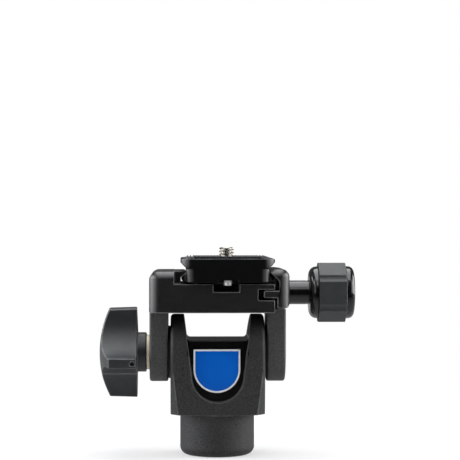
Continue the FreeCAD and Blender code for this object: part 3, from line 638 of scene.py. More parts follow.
def build_edge_highlight() -> None:
    """Painted highlight: a lighter colour along the rounded edges, broken up by patches."""
    least_highlight = 0.35
    graph, given = new_group(
        Effect.WEAR.value,
        {"Colour": (0.1, 0.1, 0.1), "Worn Colour": (0.5, 0.5, 0.5), "Amount": 0.5, "Scale": 300.0},
        {"Colour": "Color"})
    edge = graph.add("Attribute", attribute_name=Mask.WORN.value).outputs["Fac"]
    noise = graph.noise(graph.place(), given["Scale"], detail=3.0, roughness=0.6)
    patches = graph.remap(noise, *NOISE_RANGE, least_highlight, 1.0)
    mask = graph.math("MULTIPLY", graph.math("MULTIPLY", edge, patches), given["Amount"], clamp=True)
    end_group(graph, {"Colour": graph.mix(mask, given["Colour"], given["Worn Colour"])})


def build_mottle() -> None:
    """Slow drift between two close colours."""
    graph, given = new_group(
        Effect.MOTTLE.value,
        {"Colour": (0.1, 0.1, 0.1), "Other Colour": (0.12, 0.12, 0.12), "Scale": 120.0},
        {"Colour": "Color"})
    noise = graph.noise(graph.place(), given["Scale"], detail=3.0, roughness=0.55)
    drift = graph.remap(noise, *NOISE_RANGE, 0.0, 1.0)
    end_group(graph, {"Colour": graph.mix(drift, given["Colour"], given["Other Colour"])})


def build_tool_marks() -> None:
    """Fine parallel scratches left by a cutter, along one axis of the piece."""
    graph, given = new_group(
        Effect.TOOL_MARKS.value,
        {"Scale": 3000.0, "Stretch": 0.04, "Roughness": 0.3, "Spread": 0.1},
        {"Roughness": "Float", "Height": "Float"})
    parts = graph.add("SeparateXYZ", {0: graph.place()})
    drawn = graph.add("CombineXYZ", {
        0: graph.math("MULTIPLY", parts.outputs[0], given["Stretch"]),
        1: graph.math("MULTIPLY", parts.outputs[1], given["Stretch"]),
        2: parts.outputs[2]})
    marks = graph.noise(drawn.outputs[0], given["Scale"], detail=3.0, roughness=0.6)
    roughness = graph.vary(given["Roughness"], marks, given["Spread"])
    end_group(graph, {"Roughness": roughness, "Height": marks})


def build_satin_and_shade_zone() -> None:
    """Swaps a coarse finish for a smoother, darker one where the piece's satin mask says so; on the base's
    wall under the clamp the darker colour is painted shade.
    """
    graph, given = new_group(
        Effect.SATIN_ZONE.value,
        {"Colour": (0.1, 0.1, 0.1), "Satin Colour": (0.1, 0.1, 0.1), "Roughness": 0.6,
         "Satin Roughness": 0.4, "Height": 0.5, "Satin Height": 0.5},
        {"Colour": "Color", "Roughness": "Float", "Height": "Float"})
    zone = graph.add("Attribute", attribute_name=Mask.SATIN.value).outputs["Fac"]
    end_group(graph, {
        "Colour": graph.mix(zone, given["Colour"], given["Satin Colour"]),
        "Roughness": graph.mix(zone, given["Roughness"], given["Satin Roughness"], "FLOAT"),
        "Height": graph.mix(zone, given["Height"], given["Satin Height"], "FLOAT")})


class MaterialGraph(Graph):
    """Shader tree of one material, ready for its effects."""

    def __init__(self, name: str) -> None:
        """Makes the material.

        Args:
            name: The material's name.
        """
        self.material = bpy.data.materials.new(name)
        self.material.use_nodes = True
        super().__init__(self.material.node_tree)

    def effect(self, effect: Effect, **inputs: Link) -> bpy.types.Node:
        """Places a shared effect.

        Args:
            effect: Which one.
            inputs: Its inputs, with an underscore for each space.

        Returns:
            The group node.
        """
        node = self.tree.nodes.new("ShaderNodeGroup")
        node.node_tree = effect.group()
        for name, value in inputs.items():
            self.feed(node.inputs[name.replace("_", " ")], value)
        return node

    def finish(self, colour: Link, roughness: Link, height: Socket | None, depth: float,
               **plain: float | Colour) -> bpy.types.Material:
        """Adds the surface shader and joins it to the output.

        Args:
            colour: Base colour.
            roughness: Roughness.
            height: Height of the bump, or nothing for a smooth surface.
            depth: How deep the bump is, in metres.
            plain: Numbers that are the same all over, with an underscore for each space.

        Returns:
            The finished material.
        """
        shader = self.add("BsdfPrincipled", {"Base Color": colour, "Roughness": roughness})
        for name, value in plain.items():
            self.feed(shader.inputs[name.replace("_", " ")], value)
        if height is not None:
            bump = self.add("Bump", {"Height": height, "Distance": depth, "Strength": 1.0})
            self.tree.links.new(bump.outputs[0], shader.inputs["Normal"])
        leave = self.add("OutputMaterial")
        self.tree.links.new(shader.outputs[0], leave.inputs[0])
        return self.material


# Finishes

@dataclass(frozen=True)
class Finish:
    """A surface finish that makes its material once.

    Attributes:
        slot: The record's material slot.
        colour: Main colour.
        roughness: Mean roughness.
        variant: Tells finishes of one slot apart.
    """

    slot: str
    colour: Colour
    roughness: float
    variant: str = "finish"

    def material(self) -> bpy.types.Material:
        """Gives the finish's material, which is made the first time."""
        name = f"{self.slot}_{self.variant}"
        return bpy.data.materials.get(name) or self.make(name)

    def make(self, name: str) -> bpy.types.Material:
        """Makes the material under its name."""
        raise NotImplementedError


@dataclass(frozen=True)
class PowderCoat(Finish):
    """Fine textured coat on a casting, smoother and darker in its satin zones, with a lighter colour
    painted on its rounded edges as a highlight.

    Attributes:
        satin_and_shade_colour: Colour of the smoother zones; the default is dark enough to paint the shade
            on the base's wall under the clamp.
        satin_roughness: Their mean roughness.
        satin_grain: Cells in a metre of their texture.
        satin_spread: How far their roughness swings.
        satin_height: Height of their texture as a share of the coat's.
        highlight_colour: Colour painted on the rounded edges as a highlight.
        highlight_amount: How much of it shows.
        highlight_scale: Patches of the painted highlight in a metre.
        grain: Cells in a metre of the coat's texture.
        spread: How far its roughness swings.
        depth: How deep the texture is.
        speckle: How far the colour swings, as a share of itself.
        speckle_scale: Speckles in a metre.
        specular: Strength of the reflections.
    """

    satin_and_shade_colour: Colour = (0.002, 0.002, 0.002)
    satin_roughness: float = 0.3
    satin_grain: float = 3640.0
    satin_spread: float = 0.15
    satin_height: float = 0.5
    highlight_colour: Colour = (0.2, 0.2, 0.2)
    highlight_amount: float = 0.4
    highlight_scale: float = 220.0
    grain: float = 2600.0
    spread: float = 0.25
    depth: float = 0.05 * MM
    speckle: float = 0.6
    speckle_scale: float = 2200.0
    specular: float = 0.38

    def make(self, name: str) -> bpy.types.Material:
        """Makes the material.

        Args:
            name: The material's name.

        Returns:
            The new material.
        """
        graph = MaterialGraph(name)
        coarse = graph.effect(
            Effect.GRAIN, Scale=self.grain, Roughness=self.roughness, Spread=self.spread)
        fine = graph.effect(
            Effect.GRAIN, Scale=self.satin_grain, Roughness=self.satin_roughness, Spread=self.satin_spread)
        # The second colour is the darker one of the smoother zones, which on the base also paints shade.
        coat, satin = (
            graph.effect(
                Effect.MOTTLE, Colour=tuple(c * (1 - self.speckle) for c in colour),
                Other_Colour=tuple(c * (1 + self.speckle) for c in colour), Scale=self.speckle_scale)
            for colour in (self.colour, self.satin_and_shade_colour))
        softened = graph.math("MULTIPLY", fine.outputs["Height"], self.satin_height)
        zone = graph.effect(
            Effect.SATIN_ZONE, Colour=coat.outputs["Colour"], Satin_Colour=satin.outputs["Colour"],
            Roughness=coarse.outputs["Roughness"], Satin_Roughness=fine.outputs["Roughness"],
            Height=coarse.outputs["Height"], Satin_Height=softened)
        # A lighter colour is painted on the rounded edges as a highlight.
        highlit_edge = graph.effect(
            Effect.WEAR, Colour=zone.outputs["Colour"], Worn_Colour=self.highlight_colour, Amount=self.highlight_amount,
            Scale=self.highlight_scale)
        return graph.finish(
            highlit_edge.outputs["Colour"], zone.outputs["Roughness"], zone.outputs["Height"], self.depth,
            Specular_IOR_Level=self.specular)


@dataclass(frozen=True)
class Moulding(Finish):
    """Satin moulded plastic or rubber with a light skin texture.

    Attributes:
        highlight_colour: Colour painted on the rounded edges as a highlight.
        highlight_amount: How much of it shows.
        highlight_scale: Patches of the painted highlight in a metre.
        lighter: Brightness of the lighter patches, as a share of the main colour's.
        tone_scale: Such patches in a metre.
        grain: Cells in a metre of the skin texture.
        depth: How deep it is.
        spread: How far the roughness swings.
    """

    highlight_colour: Colour = (0.12, 0.12, 0.13)
    highlight_amount: float = 0.1
    highlight_scale: float = 260.0
    lighter: float = 1.2
    tone_scale: float = 160.0
    grain: float = 1800.0
    depth: float = 0.012 * MM
    spread: float = 0.12

    def make(self, name: str) -> bpy.types.Material:
        """Makes the material.

        Args:
            name: The material's name.

        Returns:
            The new material.
        """
        graph = MaterialGraph(name)
        skin = graph.effect(Effect.GRAIN, Scale=self.grain, Roughness=self.roughness, Spread=self.spread)
        lighter = tuple(c * self.lighter for c in self.colour)
        tone = graph.effect(
            Effect.MOTTLE, Colour=self.colour, Other_Colour=lighter, Scale=self.tone_scale)
        # A lighter colour is painted on the rounded edges as a highlight.
        highlit_edge = graph.effect(
            Effect.WEAR, Colour=tone.outputs["Colour"], Worn_Colour=self.highlight_colour, Amount=self.highlight_amount,
            Scale=self.highlight_scale)
        return graph.finish(
            highlit_edge.outputs["Colour"], skin.outputs["Roughness"], skin.outputs["Height"], self.depth)


@dataclass(frozen=True)
class Machined(Finish):
    """Bare or plated metal with fine tool marks.

    Attributes:
        scale: Tool marks in a metre.
        stretch: Cells along a mark for each cell across it.
        spread: How far the roughness swings.
        depth: How deep the marks are.
        metallic: How metallic the surface is.
        darker: Brightness of the darker patches, as a share of the main colour's.
        tone_scale: Such patches in a metre.
        highlight_colour: Colour painted on the rounded edges as a highlight.
        highlight_amount: How much of it shows.
        highlight_scale: Patches of the painted highlight in a metre.
    """

    scale: float = 3000.0
    stretch: float = 0.04
    spread: float = 0.12
    depth: float = 0.004 * MM
    metallic: float = 1.0
    darker: float = 0.85
    tone_scale: float = 420.0
    highlight_colour: Colour = (0.7, 0.7, 0.7)
    highlight_amount: float = 0.0
    highlight_scale: float = 260.0

    def make(self, name: str) -> bpy.types.Material:
        """Makes the material.

        Args:
            name: The material's name.

        Returns:
            The new material.
        """
        graph = MaterialGraph(name)
        marks = graph.effect(
            Effect.TOOL_MARKS, Scale=self.scale, Stretch=self.stretch, Roughness=self.roughness,
            Spread=self.spread)
        darker = tuple(c * self.darker for c in self.colour)
        tone = graph.effect(Effect.MOTTLE, Colour=self.colour, Other_Colour=darker, Scale=self.tone_scale)
        # A lighter colour is painted on the rounded edges as a highlight.
        highlit_edge = graph.effect(
            Effect.WEAR, Colour=tone.outputs["Colour"], Worn_Colour=self.highlight_colour, Amount=self.highlight_amount,
            Scale=self.highlight_scale)
        return graph.finish(
            highlit_edge.outputs["Colour"], marks.outputs["Roughness"], marks.outputs["Height"], self.depth,
            Metallic=self.metallic)


@dataclass(frozen=True)
class Lacquer(Finish):
    """Glossy black lacquer or blue enamel.

    Attributes:
        other_colour: The colour that the main one drifts to.
        tone_scale: Drifts in a metre.
        haze: Cells in a metre of the faint orange peel.
        spread: How far the roughness swings.
        depth: How deep the orange peel is.
        coat: Strength of the clear coat.
        coat_roughness: Its roughness.
        specular: Strength of the reflections under it.
    """

    other_colour: Colour = (0.01, 0.01, 0.01)
    tone_scale: float = 90.0
    haze: float = 500.0
    spread: float = 0.08
    depth: float = 0.002 * MM
    coat: float = 0.4
    coat_roughness: float = 0.05
    specular: float = 0.5

    def make(self, name: str) -> bpy.types.Material:
        """Makes the material.

        Args:
            name: The material's name.

        Returns:
            The new material.
        """
        graph = MaterialGraph(name)
        haze = graph.effect(
            Effect.GRAIN, Scale=self.haze, Roughness=self.roughness, Spread=self.spread)
        tone = graph.effect(
            Effect.MOTTLE, Colour=self.colour, Other_Colour=self.other_colour, Scale=self.tone_scale)
        return graph.finish(
            tone.outputs["Colour"], haze.outputs["Roughness"], haze.outputs["Height"], self.depth,
            Coat_Weight=self.coat, Coat_Roughness=self.coat_roughness, Specular_IOR_Level=self.specular)


# Edge colours here paint lighter rounded edges as highlights; the base keeps the default dark zone colour,
# which also paints shade on its wall under the clamp.
CAST_BLACK = PowderCoat("cast_black", (0.026, 0.0265, 0.027), 0.6)
FORK_BLACK = PowderCoat(
    "cast_black", (0.046, 0.0465, 0.047), 0.6, "fork_finish", satin_and_shade_colour=(0.009, 0.0093, 0.0098),
    satin_roughness=0.36, highlight_colour=(0.3, 0.3, 0.3), highlight_amount=0.5, specular=0.8)
ANODISED_BLACK = Machined(
    "anodised_black", (0.003, 0.0031, 0.0034), 0.3, scale=2200.0, metallic=0.0, spread=0.1,
    highlight_colour=(0.22, 0.23, 0.25), highlight_amount=0.5)
KNOB_PLASTIC = Moulding(
    "knob_plastic", (0.022, 0.024, 0.027), 0.42, highlight_amount=0.6, highlight_colour=(0.2, 0.21, 0.22))
GRIP_RUBBER = Moulding(
    "grip_rubber", (0.03, 0.033, 0.034), 0.5, grain=2400.0, depth=0.02 * MM, highlight_amount=0.2)
PAD_RUBBER = Moulding(
    "pad_rubber", (0.035, 0.037, 0.04), 0.6, grain=2600.0, depth=0.03 * MM, highlight_amount=0.5,
    highlight_colour=(0.16, 0.165, 0.175))
GLOSS_BLACK = Lacquer("gloss_black", (0.002, 0.002, 0.0025), 0.2)
SLIP_PLASTIC = Moulding("slip_plastic", (0.012, 0.012, 0.013), 0.5)
STEEL = Machined("steel", (0.42, 0.4, 0.36), 0.25, metallic=0.75)
BLACK_OXIDE = Machined("steel", (0.3, 0.3, 0.31), 0.22, "blackened")
SPRING_STEEL = Machined("spring_steel", (0.45, 0.45, 0.46), 0.28)
CHROME = Machined("chrome", (0.95, 0.95, 0.95), 0.15, depth=0.001 * MM, spread=0.05, metallic=0.2)
BRASS = Machined("brass", (1.0, 0.88, 0.68), 0.4, spread=0.15, metallic=0.1)
BADGE_SILVER = Machined("badge_silver", (0.95, 0.955, 0.96), 0.42, metallic=0.0, depth=0.002 * MM)
BADGE_BLUE = Lacquer(
    "badge_blue", (0.0, 0.12, 0.6), 0.35, other_colour=(0.0, 0.135, 0.66), coat=0.0, specular=0.1)


# Assemblies

def seat(piece: bpy.types.Object, body: Body, finish: Finish, *nodes: str) -> None:
    """Dresses a piece, joins it to its body and lets it stand for frame nodes.

    Args:
        piece: The finished mesh.
        body: The body that it rides on.
        finish: Its surface.
        nodes: The frame nodes that it replaces.
    """
    piece.data.materials.clear()
    piece.data.materials.append(finish.material())
    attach(piece, body.value)
    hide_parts(*nodes)
    LOG.info("%s: %d faces, on %s", piece.name, len(piece.data.polygons), body.value)


def dress_node(node: str, finish: Finish) -> None:
    """Gives a frame node that stays its finish.

    Args:
        node: The frame node.
        finish: Its surface.
    """
    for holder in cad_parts[node].material_slots:
        holder.material = finish.material()
    LOG.info("%s: kept from the frame", node)


def axis_of(node: str, axis: int) -> tuple[Vector, float]:
    """Gives where the middle axis of a frame node starts, and how long it is.

    Args:
        node: The frame node.
        axis: 0 for an axis along X, 2 for one along Z.

    Returns:
        The middle of the node's lower end, and the length from there.
    """
    low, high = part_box(node)
    start = (low + high) / 2
    start[axis] = low[axis]
    return start, high[axis] - low[axis]


@dataclass
class SoftenedPiece:
    """A rigid piece whose edges are rounded as casting, machining or moulding leaves them.

    Attributes:
        node: The frame node that it is copied from.
        body: The body that it rides on.
        finish: Its surface.
        edge_round: Width of the rounded edges.
        segments: Faces across a round.
        highlight_from: Height over which the rounded edges get the painted highlight.
        merge: Points closer than this become one before the edges are rounded.
    """

    node: str
    body: Body
    finish: Finish
    edge_round: float
    segments: int = 2
    highlight_from: float = 0.0
    merge: float = MERGE_DISTANCE

    def shape(self) -> bpy.types.Object:
        """Builds the mesh before its edges are rounded."""
        return copy_of_node(self.node, self.node + "_finished", self.merge)

    def part(self, piece: bpy.types.Object) -> None:
        """Parts the faces of the finished mesh where its finish changes."""

    def satin(self, middle: Vector) -> float:
        """Says how far a face is in a smoother, darker zone, from its middle."""
        return 0.0

    def build(self) -> None:
        """Builds, dresses and seats the piece."""
        piece = self.shape()
        soften_edges(piece, self.edge_round, self.segments, highlight_from=self.highlight_from)
        self.part(piece)
        write_mask(piece, Mask.SATIN, [self.satin(face.center) for face in piece.data.polygons])
        smooth(piece)
        seat(piece, self.body, self.finish, self.node)


@dataclass
class BaseCasting(SoftenedPiece):
    """Foot, collar and ears, with a smooth dark recess round the badge, and painted shade on the wall over
    it under the clamp.

    Attributes:
        recess_floor: How far the floors of the two recesses are from the middle.
        floor_tolerance: How far a face may be from there to belong to a floor.
        recess_half_width: Half the width of the recesses.
        recess_bottom: Height at which they start.
        painted_shade_bottom: Height of the wall over them, which is darkened as painted shade.
    """

    recess_floor: float = 13.8 * MM
    floor_tolerance: float = 0.1 * MM
    recess_half_width: float = 12.8 * MM
    recess_bottom: float = 22.7 * MM
    painted_shade_bottom: float = 42.0 * MM

    def part(self, piece: bpy.types.Object) -> None:
        """Parts the flat faces at the limits of the recess and the wall over it.

        Args:
            piece: The casting, with its edges rounded.
        """
        planes = (
            (RIGHT, self.recess_half_width), (RIGHT, -self.recess_half_width), (UP, self.painted_shade_bottom))
        edit_all(piece)
        for normal, distance in planes:
            bpy.ops.mesh.select_all(action="SELECT")
            bpy.ops.mesh.bisect(plane_co=normal * distance, plane_no=normal, threshold=CUT_TOLERANCE)
        close_edit()

    def satin(self, middle: Vector) -> float:
        """Marks the floors of the recesses, which have a smooth dark coat, and the wall over them, where
        the dark colour is painted shade under the clamp.

        Args:
            middle: Middle of the face.

        Returns:
            One inside a recess, and otherwise zero.
        """
        inside = abs(middle.x) < self.recess_half_width and middle.z > self.recess_bottom
        floor = abs(abs(middle.y) - self.recess_floor) < self.floor_tolerance
        return 1.0 if inside and (floor or middle.z > self.painted_shade_bottom) else 0.0


@dataclass
class ClampCasting(SoftenedPiece):
    """Fork or jaw, smoother over the arms and broadly rounded where its top meets its ends.

    Attributes:
        outside: Which way along X its rounded corners face, -1 or 1.
        corner_round: Radius of these corners, seen from above.
        corner_steps: Faces across it.
        top_round: Radius of the round along the top's edges.
        top_steps: Faces across it.
        coarse_limit: Height over which the coat is smoother.
        allowance: How far the rounding envelope stands off the rounded sides.
        beyond: How far it stands off the others.
    """

    outside: int = -1
    corner_round: float = 4.2 * MM
    corner_steps: int = 10
    top_round: float = 3.4 * MM
    top_steps: int = 8
    coarse_limit: float = 61.0 * MM
    allowance: float = 0.02 * MM
    beyond: float = 10.0 * MM

    def shape(self) -> bpy.types.Object:
        """Builds the casting and cuts it to its rounding envelope.

        Returns:
            The casting, before its edges are rounded.
        """
        piece = super().shape()
        combine(piece, self.envelope(), "INTERSECT")
        return piece

    def envelope(self) -> bpy.types.Object:
        """Builds the block that rounds the casting's top and outer corners.

        Returns:
            The closed block.
        """
        low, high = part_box(self.node)
        low = low - Vector((self.allowance, self.allowance, self.beyond))
        high = high + Vector((self.allowance, self.allowance, self.allowance))
        if self.outside < 0:
            high.x += self.beyond
        else:
            low.x -= self.beyond
        envelope = block((low + high) / 2, high - low)
        edit_all(envelope)
        bpy.ops.mesh.select_all(action="DESELECT")
        bpy.ops.mesh.select_mode(type="EDGE")
        cage = bmesh.from_edit_mesh(envelope.data)
        outer = low.x if self.outside < 0 else high.x
        for edge in cage.edges:
            ends = [end.co for end in edge.verts]
            at_corner = all(abs(end.x - outer) < self.allowance for end in ends)
            edge.select = at_corner and abs(ends[0].y - ends[1].y) < self.allowance
        bmesh.update_edit_mesh(envelope.data)
        bpy.ops.mesh.bevel(offset=self.corner_round, segments=self.corner_steps, affect="EDGES")
        select_faces(envelope, lambda middle, normal: normal.z > FACING)
        bpy.ops.mesh.bevel(offset=self.top_round, segments=self.top_steps, affect="EDGES")
        close_edit()
        return envelope

    def satin(self, middle: Vector) -> float:
        """Marks the clamp block over the arms."""
        return 1.0 if middle.z > self.coarse_limit else 0.0


@dataclass
class Badge:
    """Bare shield of silver with a crowned enamel face.

    Attributes:
        rim_round: Width of the rounded edges.
        crown: How far the enamel's middle rises.
        crown_width: How far in from the edge it rises.
        rings: Steps of the rise.
    """

    rim_round: float = 0.14 * MM
    crown: float = 0.22 * MM
    crown_width: float = 5.0 * MM
    rings: int = 6

    def build(self) -> None:
        """Builds the plate and its enamel."""
        SoftenedPiece("badge_plate", Body.BASE, BADGE_SILVER, self.rim_round, segments=3).build()
        enamel = copy_of_node("badge_enamel", "badge_enamel_crowned")
        edit_all(enamel)
        select_faces(enamel, lambda middle, normal: normal.y < -FACING)
        inset = self.crown_width / self.rings
        for ring in range(self.rings):
            start, end = ring / self.rings, (ring + 1) / self.rings
            rise = self.crown * (math.sqrt(1 - (1 - end) ** 2) - math.sqrt(1 - (1 - start) ** 2))
            bpy.ops.mesh.inset(thickness=inset, use_even_offset=True)
            bpy.ops.transform.translate(value=(0, -rise, 0))
        close_edit()
        smooth(enamel)
        seat(enamel, Body.BASE, BADGE_BLUE, "badge_enamel")


@dataclass
class KnobStem:
    """Turned stem of the clamp knob with its glossy bell and the core inside the grip.

    Attributes:
        bore: Radius of the clamp screw's hole.
        radius: Radius of the stem.
        length: How far it reaches before the bell.
        groove_place: Where the narrow groove just before the bell starts.
        rim_round: Round of the bell's edge on the grip's side.
        core_radius: Radius of the core.
        pocket_radius: Radius of the pocket for the cap's spigot.
        edge_round: Rounds at the stem's two ends.
    """

    bore: float = 2.52 * MM
    radius: float = 5.0 * MM
    length: float = 8.75 * MM
    groove_place: float = 7.7 * MM
    groove_width: float = 0.3 * MM
    groove_depth: float = 0.15 * MM
    bell_radius: float = 10.9 * MM
    bell_length: float = 3.7 * MM
    bell_round: float = 3.1 * MM
    rim_round: float = 0.35 * MM
    core_radius: float = 8.0 * MM
    pocket_radius: float = 6.02 * MM
    pocket_depth: float = 2.0 * MM
    edge_round: float = 0.35 * MM

    def build(self) -> None:
        """Builds the stem on a lathe."""
        start, end = axis_of("clamp_knob_stem", 0)
        groove = self.radius - self.groove_depth
        piece = lathe("clamp_knob_stem_turned", rounded([
            (0.0, self.bore),
            (0.0, self.radius, self.edge_round),
            (self.groove_place, self.radius),
            (self.groove_place, groove),
            (self.groove_place + self.groove_width, groove),
            (self.groove_place + self.groove_width, self.radius),
            (self.length, self.radius, self.edge_round),
            (self.length, self.bell_radius, self.bell_round),
            (self.length + self.bell_length, self.bell_radius, self.rim_round),
            (self.length + self.bell_length, self.core_radius),
            (end, self.core_radius),
            (end, self.pocket_radius),
            (end - self.pocket_depth, self.pocket_radius),
            (end - self.pocket_depth, self.bore),
            (0.0, self.bore),
        ]), start, RIGHT)
        smooth(piece)
        seat(piece, Body.CLAMP_KNOB, GLOSS_BLACK, "clamp_knob_stem")


@dataclass
class KnobCap:
    """Domed end cap of the clamp knob, with the spigot that clips into the core.

    Attributes:
        radius: Radius of the cap.
        back_round: Round of its edge on the grip's side.
        crown_round: Round between its rim and its dome.
        crown: How far the dome rises.
        rings: Steps of the rise.
    """

    spigot_radius: float = 6.0 * MM
    spigot_length: float = 2.0 * MM
    radius: float = 10.95 * MM
    back_round: float = 0.25 * MM
    crown_round: float = 2.3 * MM
    crown: float = 0.45 * MM
    rings: int = 5

    def build(self) -> None:
        """Builds the cap on a lathe."""
        start, end = axis_of("clamp_knob_cap", 0)
        shoulder = self.radius - self.crown_round
        dome = [
            (end - self.crown * (1 - ring / self.rings) ** 2, shoulder * (1 - ring / self.rings))
            for ring in range(1, self.rings + 1)]
        piece = lathe("clamp_knob_cap_turned", rounded([
            (0.0, 0.0),
            (0.0, self.spigot_radius),
            (self.spigot_length, self.spigot_radius),
            (self.spigot_length, self.radius, self.back_round),
            (end - self.crown, self.radius, self.crown_round),
            *dome,
        ]), start, RIGHT)
        smooth(piece)
        seat(piece, Body.CLAMP_KNOB, GLOSS_BLACK, "clamp_knob_cap")


@dataclass
class ThreadedInsert:
    """Steel bush in the foot with a 3/8 inch thread of sixteen turns to the inch.

    Attributes:
        major: Radius over the thread's crests.
        pitch: Rise in one turn.
        edge_round: Width of the rounded edges.
        overshoot: How far the thread's cutter reaches out of each end.
    """

    major: float = 4.7625 * MM
    pitch: float = 1.5875 * MM
    edge_round: float = 0.2 * MM
    overshoot: float = 2.0 * MM

    def build(self) -> None:
        """Builds the bush and cuts its thread."""
        foot, height = axis_of("thread_insert", 2)
        piece = copy_of_node("thread_insert", "thread_insert_cut")
        soften_edges(piece, self.edge_round)
        tool = Thread(self.major, self.pitch).bar(
            "thread_tool", foot - UP * self.overshoot, height + 2 * self.overshoot)
        combine(piece, tool, "DIFFERENCE")
        smooth(piece, THREAD_SMOOTH_ANGLE)
        seat(piece, Body.BASE, STEEL, "thread_insert")


@dataclass
class CameraScrew:
    """Captive screw: coin slotted head, thin neck and a 1/4 inch thread over the pad.

    Attributes:
        major: Radius over the thread's crests.
        pitch: Rise in one turn.
        neck_reach: How far the neck runs into the thread.
        spigot_inset: How far the spigot on its end lies inside the thread's roots.
        overlap: Height of this spigot, and how far the thread's envelope starts under the thread.
        lead_in: Height over which the thread comes out of the neck.
        clearance: How far the envelope stands off the crests.
        slot_past: How far the slot's cutter reaches out of the head.
        stub: Height of the thread.
    """

    major: float = 3.175 * MM
    pitch: float = 1.27 * MM
    head_radius: float = 6.8 * MM
    head_height: float = 2.45 * MM
    head_round: float = 0.4 * MM
    neck_radius: float = 2.55 * MM
    neck_round: float = 0.25 * MM
    neck_reach: float = 0.4 * MM
    spigot_inset: float = 0.4 * MM
    overlap: float = 0.1 * MM
    lead_in: float = 0.45 * MM
    clearance: float = 0.01 * MM
    tip_bevel: float = 0.55 * MM
    slot_width: float = 1.6 * MM
    slot_depth: float = 1.1 * MM
    slot_past: float = 1.0 * MM
    stub: float = 3.6 * MM

    def build(self) -> None:
        """Builds the screw from a turned blank and a cut thread, and slots its head."""
        foot, height = axis_of("camera_screw", 2)
        blank = self.blank(foot, height)
        combine(blank, self.threaded_stub(foot, height), "UNION")
        cutter = block(
            foot + UP * ((self.slot_depth - self.slot_past) / 2),
            (4 * self.head_radius, self.slot_width, self.slot_depth + self.slot_past))
        combine(blank, cutter, "DIFFERENCE")
        smooth(blank, THREAD_SMOOTH_ANGLE)
        seat(blank, Body.CAMERA_SCREW, STEEL, "camera_screw")

    def blank(self, foot: Vector, height: float) -> bpy.types.Object:
        """Turns the head and the neck.

        Args:
            foot: The middle of the head's underside.
            height: Height of the whole screw.

        Returns:
            The closed solid, whose neck ends inside the thread.
        """
        neck_end = height - self.stub + self.neck_reach
        spigot = Thread(self.major, self.pitch).minor - self.spigot_inset
        return lathe("camera_screw_cut", rounded([
            (0.0, 0.0),
            (0.0, self.head_radius, self.head_round),
            (self.head_height, self.head_radius, self.head_round),
            (self.head_height, self.neck_radius, self.neck_round),
            (neck_end, self.neck_radius),
            (neck_end, spigot),
            (neck_end + self.overlap, spigot),
            (neck_end + self.overlap, 0.0),
        ]), foot, UP)

    def threaded_stub(self, foot: Vector, height: float) -> bpy.types.Object:
        """Builds the threaded end with its lead-in and bevelled tip.

        Args:
            foot: The middle of the head's underside.
            height: Height of the whole screw.

        Returns:
            The closed solid.
        """
        start = height - self.stub
        thread = Thread(self.major, self.pitch)
        stub = thread.bar("stub", foot + UP * start, self.stub)
        crest = self.major + self.clearance
        combine(stub, lathe("envelope", [
            (start - self.overlap, 0.0),
            (start - self.overlap, thread.minor),
            (start + self.lead_in, crest),
            (height - self.tip_bevel, crest),
            (height, self.major - self.tip_bevel),
            (height, 0.0),
        ], foot, UP), "INTERSECT")
        return stub


@dataclass
class AxleBolt:
    """Hex bolt of the tilt axle, with its head's corners turned down and a dished middle.

    Attributes:
        flats: Width of the head over its flats.
        corner_drop: How far its corners are turned down along the bolt.
        corner_reach: How far the turned cone stands over the corners at its foot.
        face_inset: How far the round face lies inside the flats.
        clearance: How far the cutting envelope rises over the face's middle.
        past: How far the envelope stands off the rest of the bolt.
        rim_width: Width of the rim round the dish.
        dish_depth: Depth of the dish.
        dish_taper: Size of its floor as a share of its mouth.
        edge_round: Width of the rounded edges.
    """

    flats: float = 13.0 * MM
    corner_drop: float = 0.9 * MM
    corner_reach: float = 0.35 * MM
    face_inset: float = 0.1 * MM
    clearance: float = 0.01 * MM
    past: float = 1.0 * MM
    rim_width: float = 1.6 * MM
    dish_depth: float = 0.5 * MM
    dish_taper: float = 0.86
    edge_round: float = 0.2 * MM

    def build(self) -> None:
        """Builds the bolt."""
        start, length = axis_of("axle_bolt", 0)
        piece = copy_of_node("axle_bolt", "axle_bolt_turned")
        corner = self.flats / math.sqrt(3)
        envelope = lathe("envelope", [
            (-self.past, 0.0),
            (-self.past, corner + self.past),
            (length - self.corner_drop, corner + self.corner_reach),
            (length, self.flats / 2 - self.face_inset),
            (length + self.clearance, 0.0),
        ], start, RIGHT)
        combine(piece, envelope, "INTERSECT")
        edit_all(piece)
        face_from = start.x + length - self.face_inset
        select_faces(piece, lambda middle, normal: normal.x > FACING and middle.x > face_from)
        bpy.ops.mesh.inset(thickness=self.rim_width)
        bpy.ops.mesh.extrude_region_move(TRANSFORM_OT_translate={"value": (-self.dish_depth, 0, 0)})
        bpy.ops.transform.resize(value=(1, self.dish_taper, self.dish_taper))
        close_edit()
        soften_edges(piece, self.edge_round)
        smooth(piece)
        seat(piece, Body.FORK, STEEL, "axle_bolt")


